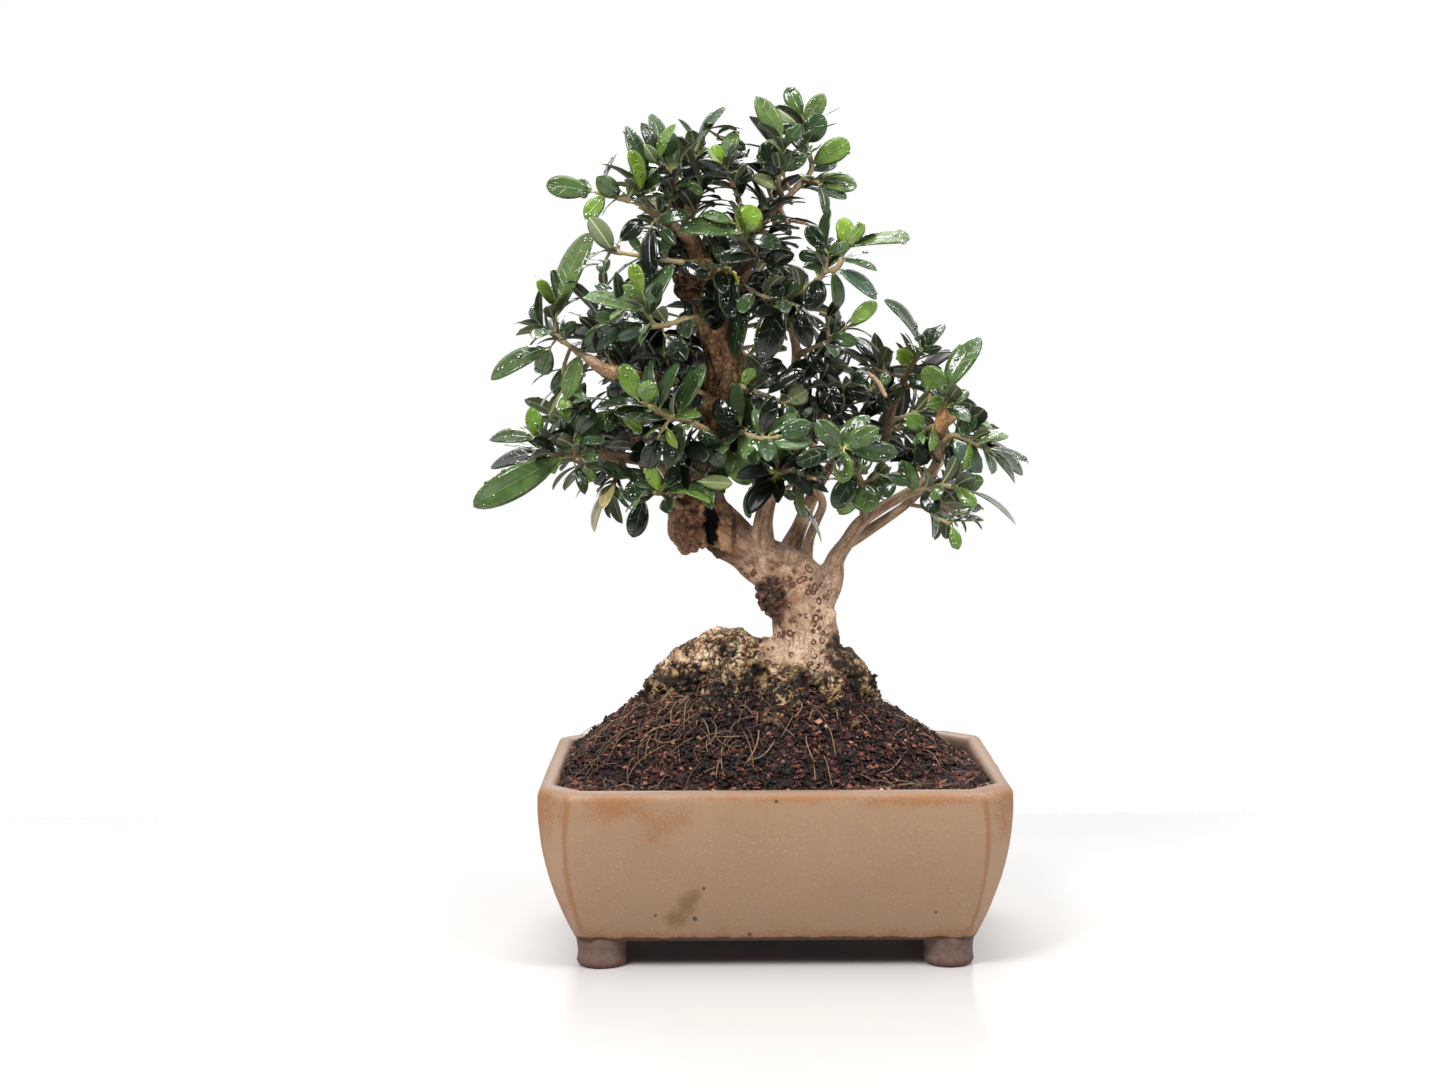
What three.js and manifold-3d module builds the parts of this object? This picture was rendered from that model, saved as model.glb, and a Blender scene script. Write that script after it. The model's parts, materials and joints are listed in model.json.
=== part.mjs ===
// Dwarf olive bonsai in a glazed rectangular pot.
// Millimetres, +Z up, the pot's long front towards -Y, the table at z = 0.
import * as THREE from "three";
import { mergeVertices } from "three/addons/utils/BufferGeometryUtils.js";
import Module from "manifold-3d";

const wasm = await Module();
wasm.setup();

// Pot: outer size at its widest, wall, floor and feet
const POT_LENGTH = 182;
const POT_WIDTH = 132;
const POT_HEIGHT = 72;
const POT_WIDEST = 66; // height of the widest ring, just under the rim
const POT_UNDERSIDE = 11;
const POT_DRAW_IN = 14.2; // how far each side draws in down to the underside
const POT_CURVE = 1.9; // how late down the side it draws in
const POT_WALL = 7;
const POT_FLOOR = 19; // top of the floor inside
const CORNER_CUT_TOP = 12;
const CORNER_CUT_BOTTOM = 3.5;
const EDGE_SOFTENING = 1.6;
const SIDE_HEIGHTS = [POT_UNDERSIDE, 15, 22, 33, 48];
const RIM_SECTION = [[POT_WIDEST, 0], [POT_HEIGHT - 1.6, 0.7], [POT_HEIGHT, 2.8], [POT_HEIGHT, 6.4]];
const MOUTH_HEIGHT = 68; // where the wall inside meets the rounded rim
const WALL_BEND = 44; // height at which the walls turn in to the floor
const FLOOR_FILLET = 2;
const FOOT_RADIUS = 10;
const FOOT_TOP = 12.5; // sunk into the body
const FOOT_SECTION = [
  [0, 0], [8.8, 0], [FOOT_RADIUS, 1.1], [9.4, 5.5], [FOOT_RADIUS, 9], [FOOT_RADIUS, FOOT_TOP], [0, FOOT_TOP],
];
const FOOT_SIDES = 8;
const FOOT_AT = [67.4, 42.4];
const DRAIN_RADIUS = 7;
const DRAIN_AT = 38;

// Drainage screens
const SCREEN_SIZE = 24;
const SCREEN_THICK = 1;
const SCREEN_HOLE = 5;
const SCREEN_PITCH = 7;
const SCREEN_SLANT = 0.01; // keeps the edges of neighbouring holes out of one line

// Soil mound
const SOIL_EDGE = 70; // height of the soil along the wall
const SOIL_ROUNDING = 3; // how far it drops to meet the wall
const SOIL_RINGS = [1, 0.9, 0.75, 0.55, 0.3]; // rings of the mound, as shares of the pot's mouth
const MOUND_RISE = 36;
const MOUND_AT = -7; // the mound's top lies left of the pot's middle
const MOUND_HALF = [85, 58];
const MOUND_POWER = 0.9;
const CORNER_SETTLE = 5; // how far the soil has sunk in the right back corner

// Wood: how many sides a section has, and how lumpy it is
const TRUNK_SKIN = { sides: 8, gnarl: 0.05 };
const ROOT_SKIN = { sides: 6, gnarl: 0.06 };
const BURR_SKIN = { sides: 6, gnarl: 0.08 };
const LIMB_SKIN = { sides: 5 };
const TWIG_SKIN = { sides: 3 };

// Clearances
const CLEAR = 0.35; // air between neighbouring pieces
const SEAT_STEP = 0.02; // share of its first span by which a twig's start is drawn out of the wood
const SEATED_SHARE = 0.15; // share of that span where no leaf starts
const SAME_CLEAR = 0.1; // air between leaves of one spray, past the stretch where their stalks meet
const SAME_FROM = 0.14; // that stretch, over a leaf's length

// Leaves
const BLADE_THICK = 0.64;
const LEAF_SLIM = 0.4; // width of a leaf over its length
const LEAF_WIDEST = 12.5;
const ARCH = 0.09; // how far a leaf bows, over its length
const LONG_LEAF = 26; // leaves from this length on have the fuller outline
const PETIOLE_REACH = 3; // a leaf that starts further than this from its twig gets a twiglet
const TWIGLET_RADIUS = 0.6;
// Outlines of a blade: how far along it, and its width there over its greatest width
const FULL_OUTLINE = [[0, 0], [0.34, 0.74], [0.66, 1], [0.9, 0.62], [1, 0]];
const SHORT_OUTLINE = [[0, 0], [0.42, 0.9], [0.82, 0.8], [1, 0]];
const LEANS = [0, -4, 4, -8, 8, -12, 12, -16, 16]; // more lean that a listed leaf may take to get clear
const TURNS = [0, 0.45, -0.45, 0.9, -0.9]; // more turn about the twig that a leaf of the rule may take
const SHORTER = [1, 0.82]; // and a shorter leaf where no lean or turn clears
const CROWN_MIDDLE = new THREE.Vector3(-8, 0, 235);
const UP = new THREE.Vector3(0, 0, 1);

// The rule for leaves in opposite pairs
const LISTED_SEED = 7919;
const SHOOT_SEED = 104729;
const RULE_LEAF = [13, 21]; // shortest and longest leaf
const RULE_SPREAD = [0.8, 1.2]; // how far a leaf stands off its twig, in radians
const BARE_SHARE = 0.3; // the first share of a twig bears no leaf
const TO_LIGHT = 0.7; // how far the upper faces turn outwards from the crown's middle, against upwards
const PAIR_AXIS = new THREE.Vector3(0.31, -0.42, 0.85); // a twig's first pair stands square to it

// Shoots that the rule draws whole
const SHOOT_RADIUS = 1.2;
const SHOOT_TAPER = 0.18;
const SHOOT_RISE = 0.12; // how far a shoot bends up, over its length
const SHOOT_PLACES = [0, 0.5, 1];
const SHOOT_PAIRS = 3;

// Places in the lists below are [across, height, depth, radius] as they look from an eye in front of
// the tree, on the upright plane through the pot's middle, then carried along the sight to their depth.
const EYE = new THREE.Vector3(-19.5, -869, 240);

function place([across, height, depth]) {
  const reach = (depth - EYE.y) / -EYE.y;
  const x = EYE.x + (across - EYE.x) * reach;
  const z = EYE.z + (height - EYE.z) * reach;
  return new THREE.Vector3(x, depth, z);
}

function asSeen({ x, y, z }) {
  const reach = (y - EYE.y) / -EYE.y;
  return [EYE.x + (x - EYE.x) / reach, EYE.z + (z - EYE.z) / reach, y];
}

// Wood: the trunk with its bends, the flaring roots, the burrs and every limb, as rows of places
const TRUNK = [
  [14, 62, 2, 11], [14, 76, 2, 16], [14, 92, 2, 17], [14, 104, 1, 15.5], [14, 114, 0, 14.2],
  [14, 124, 0, 13.5], [12.5, 134, 0, 13.2], [9, 143.5, 0, 12.4], [0, 151, 0, 10.2],
  [-10, 157.5, 0, 8.6], [-20, 165, 0, 9.5], [-26.5, 174, 0, 9.2], [-27, 185, 2, 7.4],
  [-23, 197, 3, 6.2], [-21, 209, 3, 6], [-20.5, 219, 2, 6.5], [-18, 230, 2, 7.2],
  [-20, 241, 2, 7.8], [-23, 251, 2, 6.8], [-27, 262, 2, 5.8], [-27.5, 272, 2, 4.6],
  [-31, 281, 2, 3.6], [-33, 289, 2, 2.9], [-32, 296, 2, 2.3], [-31.5, 301, 2, 1.9],
];
const ROOTS = [
  [[12, 108, 0, 12], [-4, 111.5, -2, 10.5], [-19, 112, -4, 13.2], [-31, 108.5, -4, 11],
    [-42, 101, -3, 8.5], [-54, 88, -2, 6], [-64, 76, 0, 3.5]],
  [[18, 110, 0, 10], [26, 108, -2, 10.2], [33, 101, -2, 8], [42, 90, -2, 5], [50, 78, 0, 3]],
  [[8, 106, -6, 11], [5, 97, -17, 9], [3, 84, -29, 6]],
  [[-14, 106, -8, 9.5], [-21, 97, -20, 7.5], [-29, 84, -32, 5]],
  [[20, 105, -7, 9], [26, 96, -18, 7], [32, 83, -30, 4.5]],
  [[14, 105, 8, 11], [17, 95, 20, 8.5], [20, 80, 33, 5]],
  [[2, 107, 4, 11], [-11, 103, 14, 9], [-20, 92, 26, 6.5]],
];
const BURRS = [
  [[3, 132, -5, 5.2], [0, 139, -7, 6.4], [2, 146, -5, 5]],
  [[-31, 158, -2, 6], [-34.5, 167, -3, 7.6], [-32, 177, -2, 6.2]],
  [[-26, 262, 0, 4.5], [-33, 262.5, -3, 4.7], [-38, 263, -4, 4.9]],
  [[8, 153, -8, 3.4], [9, 157, -9, 3]],
];
const LIMBS = {
  lower_fork: [[-4, 158, -4, 5.5], [-3.5, 168, -6, 4], [-2, 175, -7, 3.5], [0, 182, -8, 3.3],
    [4, 190, -8, 3], [9.5, 193.5, -9, 2.2], [15, 196, -12, 1.7]],
  lower_fork_riser: [[3.5, 188, -8, 2.8], [2.5, 200, -4, 2.4], [5, 212, -1, 2.2],
    [8, 224, 0, 2], [10, 236, 0, 2], [8, 247, -2, 1.9]],
  thin_riser: [[13.5, 150, 2, 2.9], [15, 161, 4, 2.1], [18, 169, 6, 1.9], [20.5, 176, 6, 1.8],
    [17, 183, 5, 1.8], [15, 192, 5, 1.7], [18, 203, 7, 1.6], [22, 213, 8, 1.5]],
  right: [[18, 136, 0, 8], [24, 146, 0, 5.2], [25.5, 153, 0, 3.9], [30, 160, 1, 3.1],
    [35, 167.5, 2, 2.8], [44, 174, 2, 2.4], [52, 178.5, 2, 2.2], [59, 183, 2, 2.1],
    [65, 190, 2, 2], [68, 200, 2, 1.9], [69.5, 206.5, 2, 1.8]],
  right_riser: [[37, 169, 3, 2.4], [42, 182, 14, 2], [45, 198, 22, 1.8], [48, 212, 24, 1.7],
    [52, 223, 21, 1.5]],
  left: [[-21, 214, 0, 4.2], [-30, 218, -3, 3.7], [-40, 222, -6, 3.6], [-58, 227, -8, 3.4],
    [-67, 230, -8, 2.8], [-74, 235, -7, 2]],
  low_left: [[-27, 178, 4, 4.5], [-38, 187, 8, 3.3], [-50, 193, 6, 2.6], [-62, 195, 0, 2.2],
    [-72, 196, -6, 1.8]],
  crown_right: [[-22, 252, 4, 3.8], [-14, 262, 6, 3], [-9, 272, 4, 2.4], [-5, 281, 2, 1.9],
    [-3, 288, 2, 1.6], [1, 292, 2, 1.5], [6, 297, 2, 1.4], [11, 302, 3, 1.2]],
  crown_left: [[-30, 279, 2, 3], [-38, 286, -2, 2.2], [-46, 291.5, -5, 1.9]],
  back_high: [[-19, 228, 4, 4.4], [-16, 237, 18, 3.2], [-12, 248, 32, 2.5], [-8, 258, 44, 1.8]],
  back_left: [[-20, 205, 5, 4], [-28, 212, 20, 2.8], [-38, 221, 33, 2.2], [-48, 230, 44, 1.6]],
  back_right: [[5, 152, 6, 5.5], [11, 166, 18, 3.4], [18, 182, 28, 2.6], [27, 196, 38, 2],
    [36, 209, 46, 1.6]],
  back_crown: [[-24, 254, 5, 3.6], [-32, 263, 17, 2.4], [-38, 274, 28, 1.8]],
  back_low_right: [[29, 159, 3, 2.8], [42, 167, 16, 2.2], [56, 177, 28, 1.8], [66, 188, 36, 1.5]],
  back_low_left: [[-29, 178, 6, 4], [-42, 183, 20, 2.8], [-56, 188, 32, 2.2], [-68, 195, 40, 1.6]],
};
// The black hollow in the big old wound, and its half axes
const HOLLOW_AT = [-24.5, 167, -9];
const HOLLOW_HALF = [2.6, 6.5, 8.5];

// Leafy sprays. twigs: rows of places. leaves: [base across, base height, tip across, tip height,
// width as it looks, lean of the tip away from the eye]. fill: leaves that the rule adds round the twigs.
const SPRAYS = {
  left_tip: {
    twigs: [
      [[-72, 233.5, -7, 2], [-80, 239, -6, 1.4], [-86, 243.5, -5, 1.2], [-93, 247, -5, 0.9]],
      [[-86, 243.5, -5, 0.9], [-87, 256, -6, 0.7]],
      [[-80, 239, -6, 1], [-83, 230, -8, 0.8], [-83, 220, -9, 0.7]],
    ],
    leaves: [
      [-84, 248, -71, 284, 10, 4], [-88, 239, -112, 226, 8, -4], [-88, 239, -92, 228, 8, 6],
      [-78, 235.5, -61, 247, 11, -8], [-78, 234, -82, 218, 8.5, -6], [-83, 232, -87, 220, 5, 3],
      [-81, 222, -72, 214, 6, 4],
    ],
    fill: 3,
  },
  low_left: {
    twigs: [
      [[-70, 196, -6, 1.8], [-79, 195.5, -10, 1.4], [-88, 196.5, -12, 1.1], [-93, 202, -13, 0.9]],
      [[-79, 195.5, -10, 1], [-79, 203, -13, 0.8]],
    ],
    leaves: [
      [-83, 194.5, -120, 175.5, 12.5, -6], [-86, 195, -112.5, 190.5, 6, 5],
      [-94, 202, -113, 202, 6.5, 4], [-92, 203, -96.5, 215, 7, -2], [-79, 197, -86, 209, 11, 5],
      [-79, 203, -71, 214, 8, -4], [-76, 201, -63, 213, 7, 3],
    ],
    fill: 3,
  },
  dried_clump: {
    twigs: [[[-60, 195, 1, 1.8], [-61, 190, -4, 1.1], [-64, 183, -7, 0.9]]],
    leaves: [
      [-57, 186, -68, 192, 6, -4], [-64, 183, -72, 165, 3.5, 3], [-60, 193, -58, 205, 6, -3],
      [-61, 190, -50, 186, 6, 4],
    ],
    fill: 1,
  },
  left_mid: {
    twigs: [[[-57, 226.5, -8, 2.2], [-59, 221, -15, 1.1], [-62, 214, -18, 0.8]]],
    leaves: [
      [-60, 216, -62, 226, 9, -5], [-59, 219, -52, 210, 6, 3],
    ],
    fill: 2,
  },
  shoot_a: {
    twigs: [
      [[-23, 203, 0, 3], [-28, 206.5, -16, 1.5], [-33, 209, -20, 1.4], [-40, 211, -24, 1.3],
        [-45, 213, -27, 1.2], [-50, 216, -29, 1]],
      [[-40, 211, -24, 0.9], [-45, 204, -25, 0.8]],
    ],
    leaves: [
      [-53, 217, -59.5, 232, 8, -2], [-51, 215.5, -49, 225.5, 8, -5], [-48, 214, -71, 214.5, 3.5, 2],
      [-40, 209.5, -63, 212.5, 6.5, -8], [-44, 215, -37, 232, 5.5, -3], [-37, 213, -27, 232.5, 8.5, 4],
      [-36, 213, -39, 223, 6, 6], [-36.5, 207, -42, 190, 8, -3], [-28, 206.5, -20, 190.5, 9.5, -3],
      [-30, 203, -38, 190.5, 8, 3], [-46, 203, -50, 190, 8, 2],
    ],
  },
  centre_low: {
    twigs: [
      [[-20, 211, 0, 2.8], [-15, 206, -13, 1.4], [-8, 203, -20, 1.2], [-2, 202, -25, 1],
        [4, 203, -28, 0.8]],
      [[-15, 205, -13, 1], [-18, 200, -15, 0.8]],
      [[-8, 203, -20, 0.9], [-6, 196, -22, 0.8]],
    ],
    leaves: [
      [-23, 206, -3, 214, 9.5, -9], [-15, 205, -22, 218, 9, 2], [-12, 206, -6, 192, 9, -10],
      [-19, 199, -9, 183.5, 11, -3], [-6, 196, -5, 180, 6, 2], [-4, 201, 1, 219, 7, -4],
      [3, 203, 16, 208, 8, -3], [-3, 199, 16, 200, 6, -8], [-3, 200, 8, 193, 6, 4],
    ],
  },
  centre_back: {
    twigs: [[[-19, 223, 0, 3.2], [-10, 222, -9, 1.3], [-2, 219, -11, 1.1], [5, 216, -12, 0.9]]],
    leaves: [
      [4, 214, 14, 221, 9, 3], [-7, 226, 4, 233, 7, -3], [4, 214, 11, 206, 6, -2],
    ],
  },
  shoot_b: {
    twigs: [[[-35, 173, -3, 2.6], [-41, 178, -12, 1.4], [-45, 180.5, -16, 1.1], [-51, 179, -18, 0.9]]],
    leaves: [
      [-45, 181, -49.5, 192, 5.5, -2], [-46, 180, -60, 180, 8, -5], [-52, 178, -56, 162.5, 8.5, -2],
      [-40, 178, -33, 190, 6, 8],
    ],
  },
  trunk_shoot: {
    twigs: [[[-26, 187, 2, 4], [-24, 186.5, -10, 1.3], [-27, 185.5, -17, 0.9]]],
    leaves: [
      [-30, 185, -16, 184, 6, -6], [-26, 188, -34, 193, 7, -2], [-25, 187, -16, 190, 7, 3],
    ],
  },
  below_crown: {
    twigs: [
      [[0, 182, -8, 2.2], [4, 181.5, -14, 1.1], [9, 184, -17, 0.9], [13, 189, -19, 0.8]],
      [[5, 182, -14.5, 0.9], [-3, 183.5, -16, 0.9], [-9, 182, -17, 0.8]],
    ],
    leaves: [
      [4, 180, 19.5, 160, 3.5, -3], [13, 190, 12.5, 170, 4.5, -4],
    ],
  },
  shoot_c: {
    twigs: [
      [[-22, 250, 0, 3.4], [-34, 249.5, -15, 1.5], [-42, 247.5, -21, 1.3], [-51, 246.5, -25, 1]],
      [[-46, 247, -23, 1], [-50, 253, -26, 0.9], [-51, 259, -28, 0.8]],
      [[-50, 253, -26, 0.8], [-61, 256, -27, 0.7]],
    ],
    leaves: [
      [-51, 252, -75, 258, 7.5, -6], [-51, 259, -55, 272, 6, -2], [-46, 252, -39, 271.5, 5.5, 3],
      [-43, 244, -34, 233.5, 9, -3],
    ],
    fill: 2,
  },
  high_left: {
    twigs: [
      [[-27, 272, 0, 2.6], [-34, 272, -11, 1.3], [-50, 274.5, -16, 1.1], [-66, 277, -18, 0.9]],
      [[-64, 276.5, -18, 0.8], [-67.5, 270, -19, 0.6]],
    ],
    leaves: [
      [-62, 279, -72, 290, 8, -3], [-61, 280, -51, 289, 7, 4], [-50, 273, -46, 254, 8, 3],
      [-36, 272, -25, 266, 6, -5],
    ],
  },
  high_left_leaf: {
    twigs: [[[-40, 287.3, -3, 2], [-44, 289, -11, 1.1], [-47, 288, -15, 0.8]]],
    leaves: [
      [-47, 288, -47.5, 266.5, 7.5, -4], [-46, 289, -32, 291, 5.5, -6],
    ],
  },
  yellow_leaf: {
    twigs: [[[-26, 266, 0, 2.4], [-21, 269, -10, 1.1], [-16, 270, -13, 0.8]]],
    leaves: [
      [-21, 272, -13, 263.5, 5.5, -3], [-21, 267, -24, 246, 11, -5], [-16, 269, -17, 250, 8, 3],
    ],
  },
  crown_middle: {
    twigs: [
      [[-9.5, 271, 4, 2.2], [-6, 273.5, -9, 1.2], [-9, 278, -13, 1.1], [-12, 283, -16, 1]],
      [[-6, 273.5, -9, 1], [2, 271, -13, 0.8]],
    ],
    leaves: [
      [-12, 283, -6, 294, 11, -3], [-9, 283, 4, 279, 6, -4], [-3, 274, 9, 275, 7, -5],
      [2, 270, 2, 256, 7, -3], [-14, 285, -37, 285.5, 8, 3], [-14, 287, -28, 291, 4.5, 6],
      [3, 272, 15, 264, 5, 7],
    ],
  },
  crown_hanging: {
    twigs: [[[-14, 262, 6, 2.6], [-10, 262, -7, 1.2], [-4, 259, -14, 1], [3, 257, -17, 0.9],
      [10, 255, -18, 0.8]]],
    leaves: [
      [-11, 263, -2, 259, 7, -10], [-11, 260, -14, 250, 6.5, -2], [-8, 258, -15, 234.5, 7, 3],
      [3, 256, -4, 232.5, 12, -3], [10, 255, 15, 238, 8, -2],
    ],
    fill: 2,
  },
  shoot_d: {
    twigs: [
      [[-44, 290, -4, 2.2], [-51, 295, -9, 1.6], [-51, 302, -11, 1.1]],
      [[-51, 295, -9, 1.2], [-58, 297, -12, 1.1], [-70, 300, -14, 0.8]],
    ],
    leaves: [
      [-50, 304, -57, 326, 7.5, 3], [-51, 302, -56, 316, 6, -3], [-70, 299, -89, 303, 9, -3],
      [-60, 297, -69, 306, 8, -7], [-66, 297, -74, 290, 7, -4],
    ],
    fill: 2,
  },
  shoot_e: {
    twigs: [[[-32, 293, 2, 1.8], [-36, 301, -4, 1.3], [-40, 308, -7, 1.1], [-45, 311, -9, 1]]],
    leaves: [
      [-45, 313, -51, 327, 5.5, -3], [-43, 313, -47, 331, 6.5, 3], [-45, 312, -38, 326.5, 4.5, -3],
    ],
    fill: 2,
  },
  shoot_f: {
    twigs: [
      [[-31.5, 299, 2, 1.8], [-31, 307, 5, 1.1], [-30, 315, 6, 0.9]],
      [[-30, 315, 6, 0.7], [-26, 324, 5, 0.6], [-20, 321, 3, 0.6]],
    ],
    leaves: [
      [-30, 316, -18, 333, 4, -2],
    ],
    fill: 2,
  },
  shoot_h: {
    twigs: [[[-5, 283, 2, 1.9], [-10, 289, -4, 1.2], [-14, 300, -8, 1.1], [-18, 311, -12, 0.8]]],
    leaves: [
      [-16, 305, -29, 312, 7, -4], [-16, 306, -24.5, 317, 5, 5],
    ],
    fill: 2,
  },
  top_left_leaves: {
    twigs: [[[5, 296, 2, 1.8], [3, 303, -4, 1], [5, 313, -5, 0.9], [5, 320, -6, 0.8]]],
    leaves: [
      [5, 321, -6, 337, 8.5, -2], [3, 304, -3, 319, 9, -3], [3, 300, -8, 306, 5, -4],
      [4, 311, -2, 320, 7, 4], [4, 308, 14, 314, 6, -4],
    ],
    fill: 1,
  },
  top_right_leaves: {
    twigs: [
      [[9.5, 300.5, 3, 1.6], [16, 308.5, 6, 1.1], [14, 318, 7, 1], [13, 328, 7, 0.8]],
      [[12.5, 304, 4.3, 1.1], [19, 303, -3, 0.9]],
    ],
    leaves: [
      [13, 328, 6.5, 340.5, 7, 2], [13.5, 326, 21, 338, 7.5, -2], [13, 323, 2, 333, 7, 5],
      [13, 318, 20, 330, 10, -4], [15, 312, 5, 326, 6, -3], [15, 310, 31, 319, 9.5, -3],
      [14, 303, 34, 302, 7, -2], [10, 299, 30, 297, 4, -4],
    ],
    fill: 2,
  },
  shoot_i: {
    twigs: [
      [[8, 245, -2, 2.2], [7, 257, -8, 1.5], [12, 261, -14, 1.4], [17, 264, -18, 1.3],
        [21, 268, -20, 1.2], [22, 276, -22, 1]],
      [[21, 268, -20, 1.1], [26.5, 270, -23, 1.3], [29, 278, -25, 0.8]],
    ],
    leaves: [
      [31, 276, 55, 282, 5.5, -3], [30, 278, 37, 287, 5.5, -3], [29, 279, 29, 289.5, 7, 3],
      [22, 278, 23, 293, 4.5, 2], [22, 278, 14, 286, 7, 3], [20, 266, 16, 253, 9, -3],
      [24.5, 268, 27, 254, 5.5, 3], [26, 269, 42, 257.5, 6.5, -3],
    ],
    fill: 2,
  },
  right_mid: {
    twigs: [
      [[10, 235, 0, 2.2], [16, 238, -8, 1.1], [23, 241, -12, 1], [31, 247, -14, 0.8]],
      [[23, 241, -12, 0.8], [22, 249, -15, 0.7]],
    ],
    leaves: [
      [30, 248, 42, 256, 6.5, -3], [23, 243, 34, 240, 6, -4], [15, 238, 20, 228, 6, -3],
    ],
  },
  right_dark: {
    twigs: [
      [[21.5, 212, 8, 1.9], [20, 222, 1, 1.2], [21, 232, -3, 1]],
      [[20, 222, 1, 0.9], [30, 222, -4, 0.8]],
    ],
    leaves: [
      [20, 232, 6, 227, 9, -3], [19, 226, 27, 211, 12, -6], [28, 221, 40, 219, 7, -4],
      [30, 222, 39, 229, 6, 3], [20, 230, 30, 237, 6, 4],
    ],
    fill: 2,
  },
  right_top: {
    twigs: [
      [[51, 221, 22, 1.9], [56, 231, 12, 1.2], [60, 237, 8, 0.9]],
      [[53, 226, 17, 1], [46, 228, 10, 0.8], [40, 230, 7, 0.7]],
    ],
    leaves: [
      [57, 232, 50, 237, 8, -5], [58, 238, 45.5, 257.5, 3.5, -2], [60, 236, 65, 246, 6, 3],
      [46, 229, 32, 242, 6, -3],
    ],
    fill: 3,
  },
  right_tall: {
    twigs: [[[69, 204, 2, 2], [69, 212, 0, 1.2], [69, 219, -2, 1]], [[69, 209, 1, 0.9], [61, 205, -4, 0.8]]],
    leaves: [
      [70, 220, 83, 242, 9, 3], [69, 219.5, 61, 230, 10, -4], [61, 204, 54, 211, 8, -3],
    ],
    fill: 2,
  },
  far_right: {
    twigs: [[[67.5, 198, 2, 2], [73, 203, -6, 1.2], [80, 200, -10, 0.9], [87, 197, -12, 0.8]]],
    leaves: [
      [71, 204, 84, 188, 9, -4], [76, 203, 101, 187.5, 6, 5], [87, 196, 98, 184, 4.5, 2],
      [70, 201, 72, 186, 6, -6],
    ],
    fill: 2,
  },
  right_low: {
    twigs: [
      [[52, 178.5, 2, 2.4], [60, 181, -9, 1.2], [68, 183, -13, 1], [78, 181, -16, 0.8]],
      [[60, 181, -9, 0.9], [64, 172, -14, 0.8], [72, 167, -16, 0.7]],
    ],
    leaves: [
      [72, 183, 85, 185, 6, -3], [60, 184, 66, 172, 8, -7], [74, 182, 82, 175, 6, -4],
      [58, 182, 52, 193, 7, -2],
    ],
    fill: 2,
  },
  rosette: {
    twigs: [[[14.5, 195.8, -12, 2], [22, 197, -24, 1.2], [29, 198, -32, 1.1]]],
    leaves: [
      [28, 199, 18, 209, 8.5, -3], [30, 199, 43, 206, 8, -2], [27, 197, 10, 192, 7, -4],
      [29, 197, 28.5, 184, 8, -3], [30, 198, 50.5, 196, 8.5, 2], [29, 199, 36, 210, 8, 5],
    ],
    fill: 2,
  },
  rosette_low: {
    twigs: [
      [[37, 169.5, 2, 2.7], [37, 177, -12, 1.5], [36, 184, -20, 1.5], [33, 190, -22, 1.1]],
      [[36, 184, -20, 0.9], [44, 187, -22, 0.8]],
    ],
    leaves: [
      [32, 188, 25, 174, 9, -3], [35, 184, 40, 172.5, 12, -4], [35, 181, 27, 171.5, 6, 4],
      [44, 187, 47, 178, 9, -2],
    ],
  },
};

// Where each shoot of the rule leaves its limb, its heading and its length
const RULE_SHOOTS = {
  back_high_end: { from: [-9, 256, 42], heading: [0.15, 0.7, 0.7], length: 30 },
  back_high_left: { from: [-14, 243, 25], heading: [-0.7, 0.7, 0.35], length: 26 },
  back_high_right: { from: [-13, 246, 29], heading: [0.85, 0.45, 0.15], length: 30 },
  back_high_low: { from: [-15, 239, 21], heading: [0.35, 0.9, -0.35], length: 28 },
  back_left_end: { from: [-47, 229, 43], heading: [-0.6, 0.6, 0.5], length: 28 },
  back_left_side: { from: [-36, 219, 30], heading: [-0.85, 0.1, 0.55], length: 30 },
  back_left_low: { from: [-42, 225, 37], heading: [0.1, 0.9, -0.2], length: 26 },
  back_right_end: { from: [35, 207.5, 45], heading: [0.3, 0.6, 0.7], length: 26 },
  back_right_side: { from: [28, 197, 39], heading: [0.9, 0.4, 0.2], length: 30 },
  back_right_inner: { from: [21, 187, 31], heading: [-0.75, 0.6, 0.4], length: 26 },
  back_crown_end: { from: [-37.5, 273, 27], heading: [-0.35, 0.5, 0.8], length: 28 },
  back_crown_side: { from: [-34, 267, 21], heading: [0.45, 0.8, 0.35], length: 26 },
  crown_back: { from: [-11, 267.5, 5], heading: [0.25, 0.85, 0.5], length: 34 },
  crown_peak: { from: [-32.2, 292, 2], heading: [0.15, 0.75, 0.75], length: 30 },
  low_right_end: { from: [65, 187, 35], heading: [0.5, 0.6, 0.6], length: 26 },
  low_right_side: { from: [54, 175.5, 26], heading: [0.75, 0.45, -0.2], length: 28 },
  low_left_end: { from: [-67, 194, 39], heading: [-0.7, 0.5, 0.5], length: 28 },
  low_left_side: { from: [-53, 187, 29], heading: [-0.8, 0.1, 0.1], length: 30 },
  left_back: { from: [-60, 227.8, -8], heading: [-0.35, 0.85, 0.45], length: 32 },
  right_back: { from: [47.5, 209, 23.5], heading: [0.65, 0.7, 0.1], length: 30 },
  low_back: { from: [-52, 193.5, 5], heading: [-0.15, 0.3, 0.95], length: 26 },
};

// Seeded dice, one for each spray
function dice(seed) {
  let state = seed;
  return () => {
    state = (state * 1664525 + 1013904223) % 4294967296;
    return state / 4294967296;
  };
}

// A closed mesh's solid
function solid(geometry) {
  const bare = new THREE.BufferGeometry();
  bare.setAttribute("position", geometry.getAttribute("position"));
  bare.setIndex(geometry.index);
  const merged = mergeVertices(bare, 1e-4);
  return new wasm.Manifold(new wasm.Mesh({
    numProp: 3,
    vertProperties: merged.attributes.position.array,
    triVerts: new Uint32Array(merged.index.array),
  }));
}

function joined(solids) {
  return solids.reduce((whole, next) => whole.add(next));
}

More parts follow.
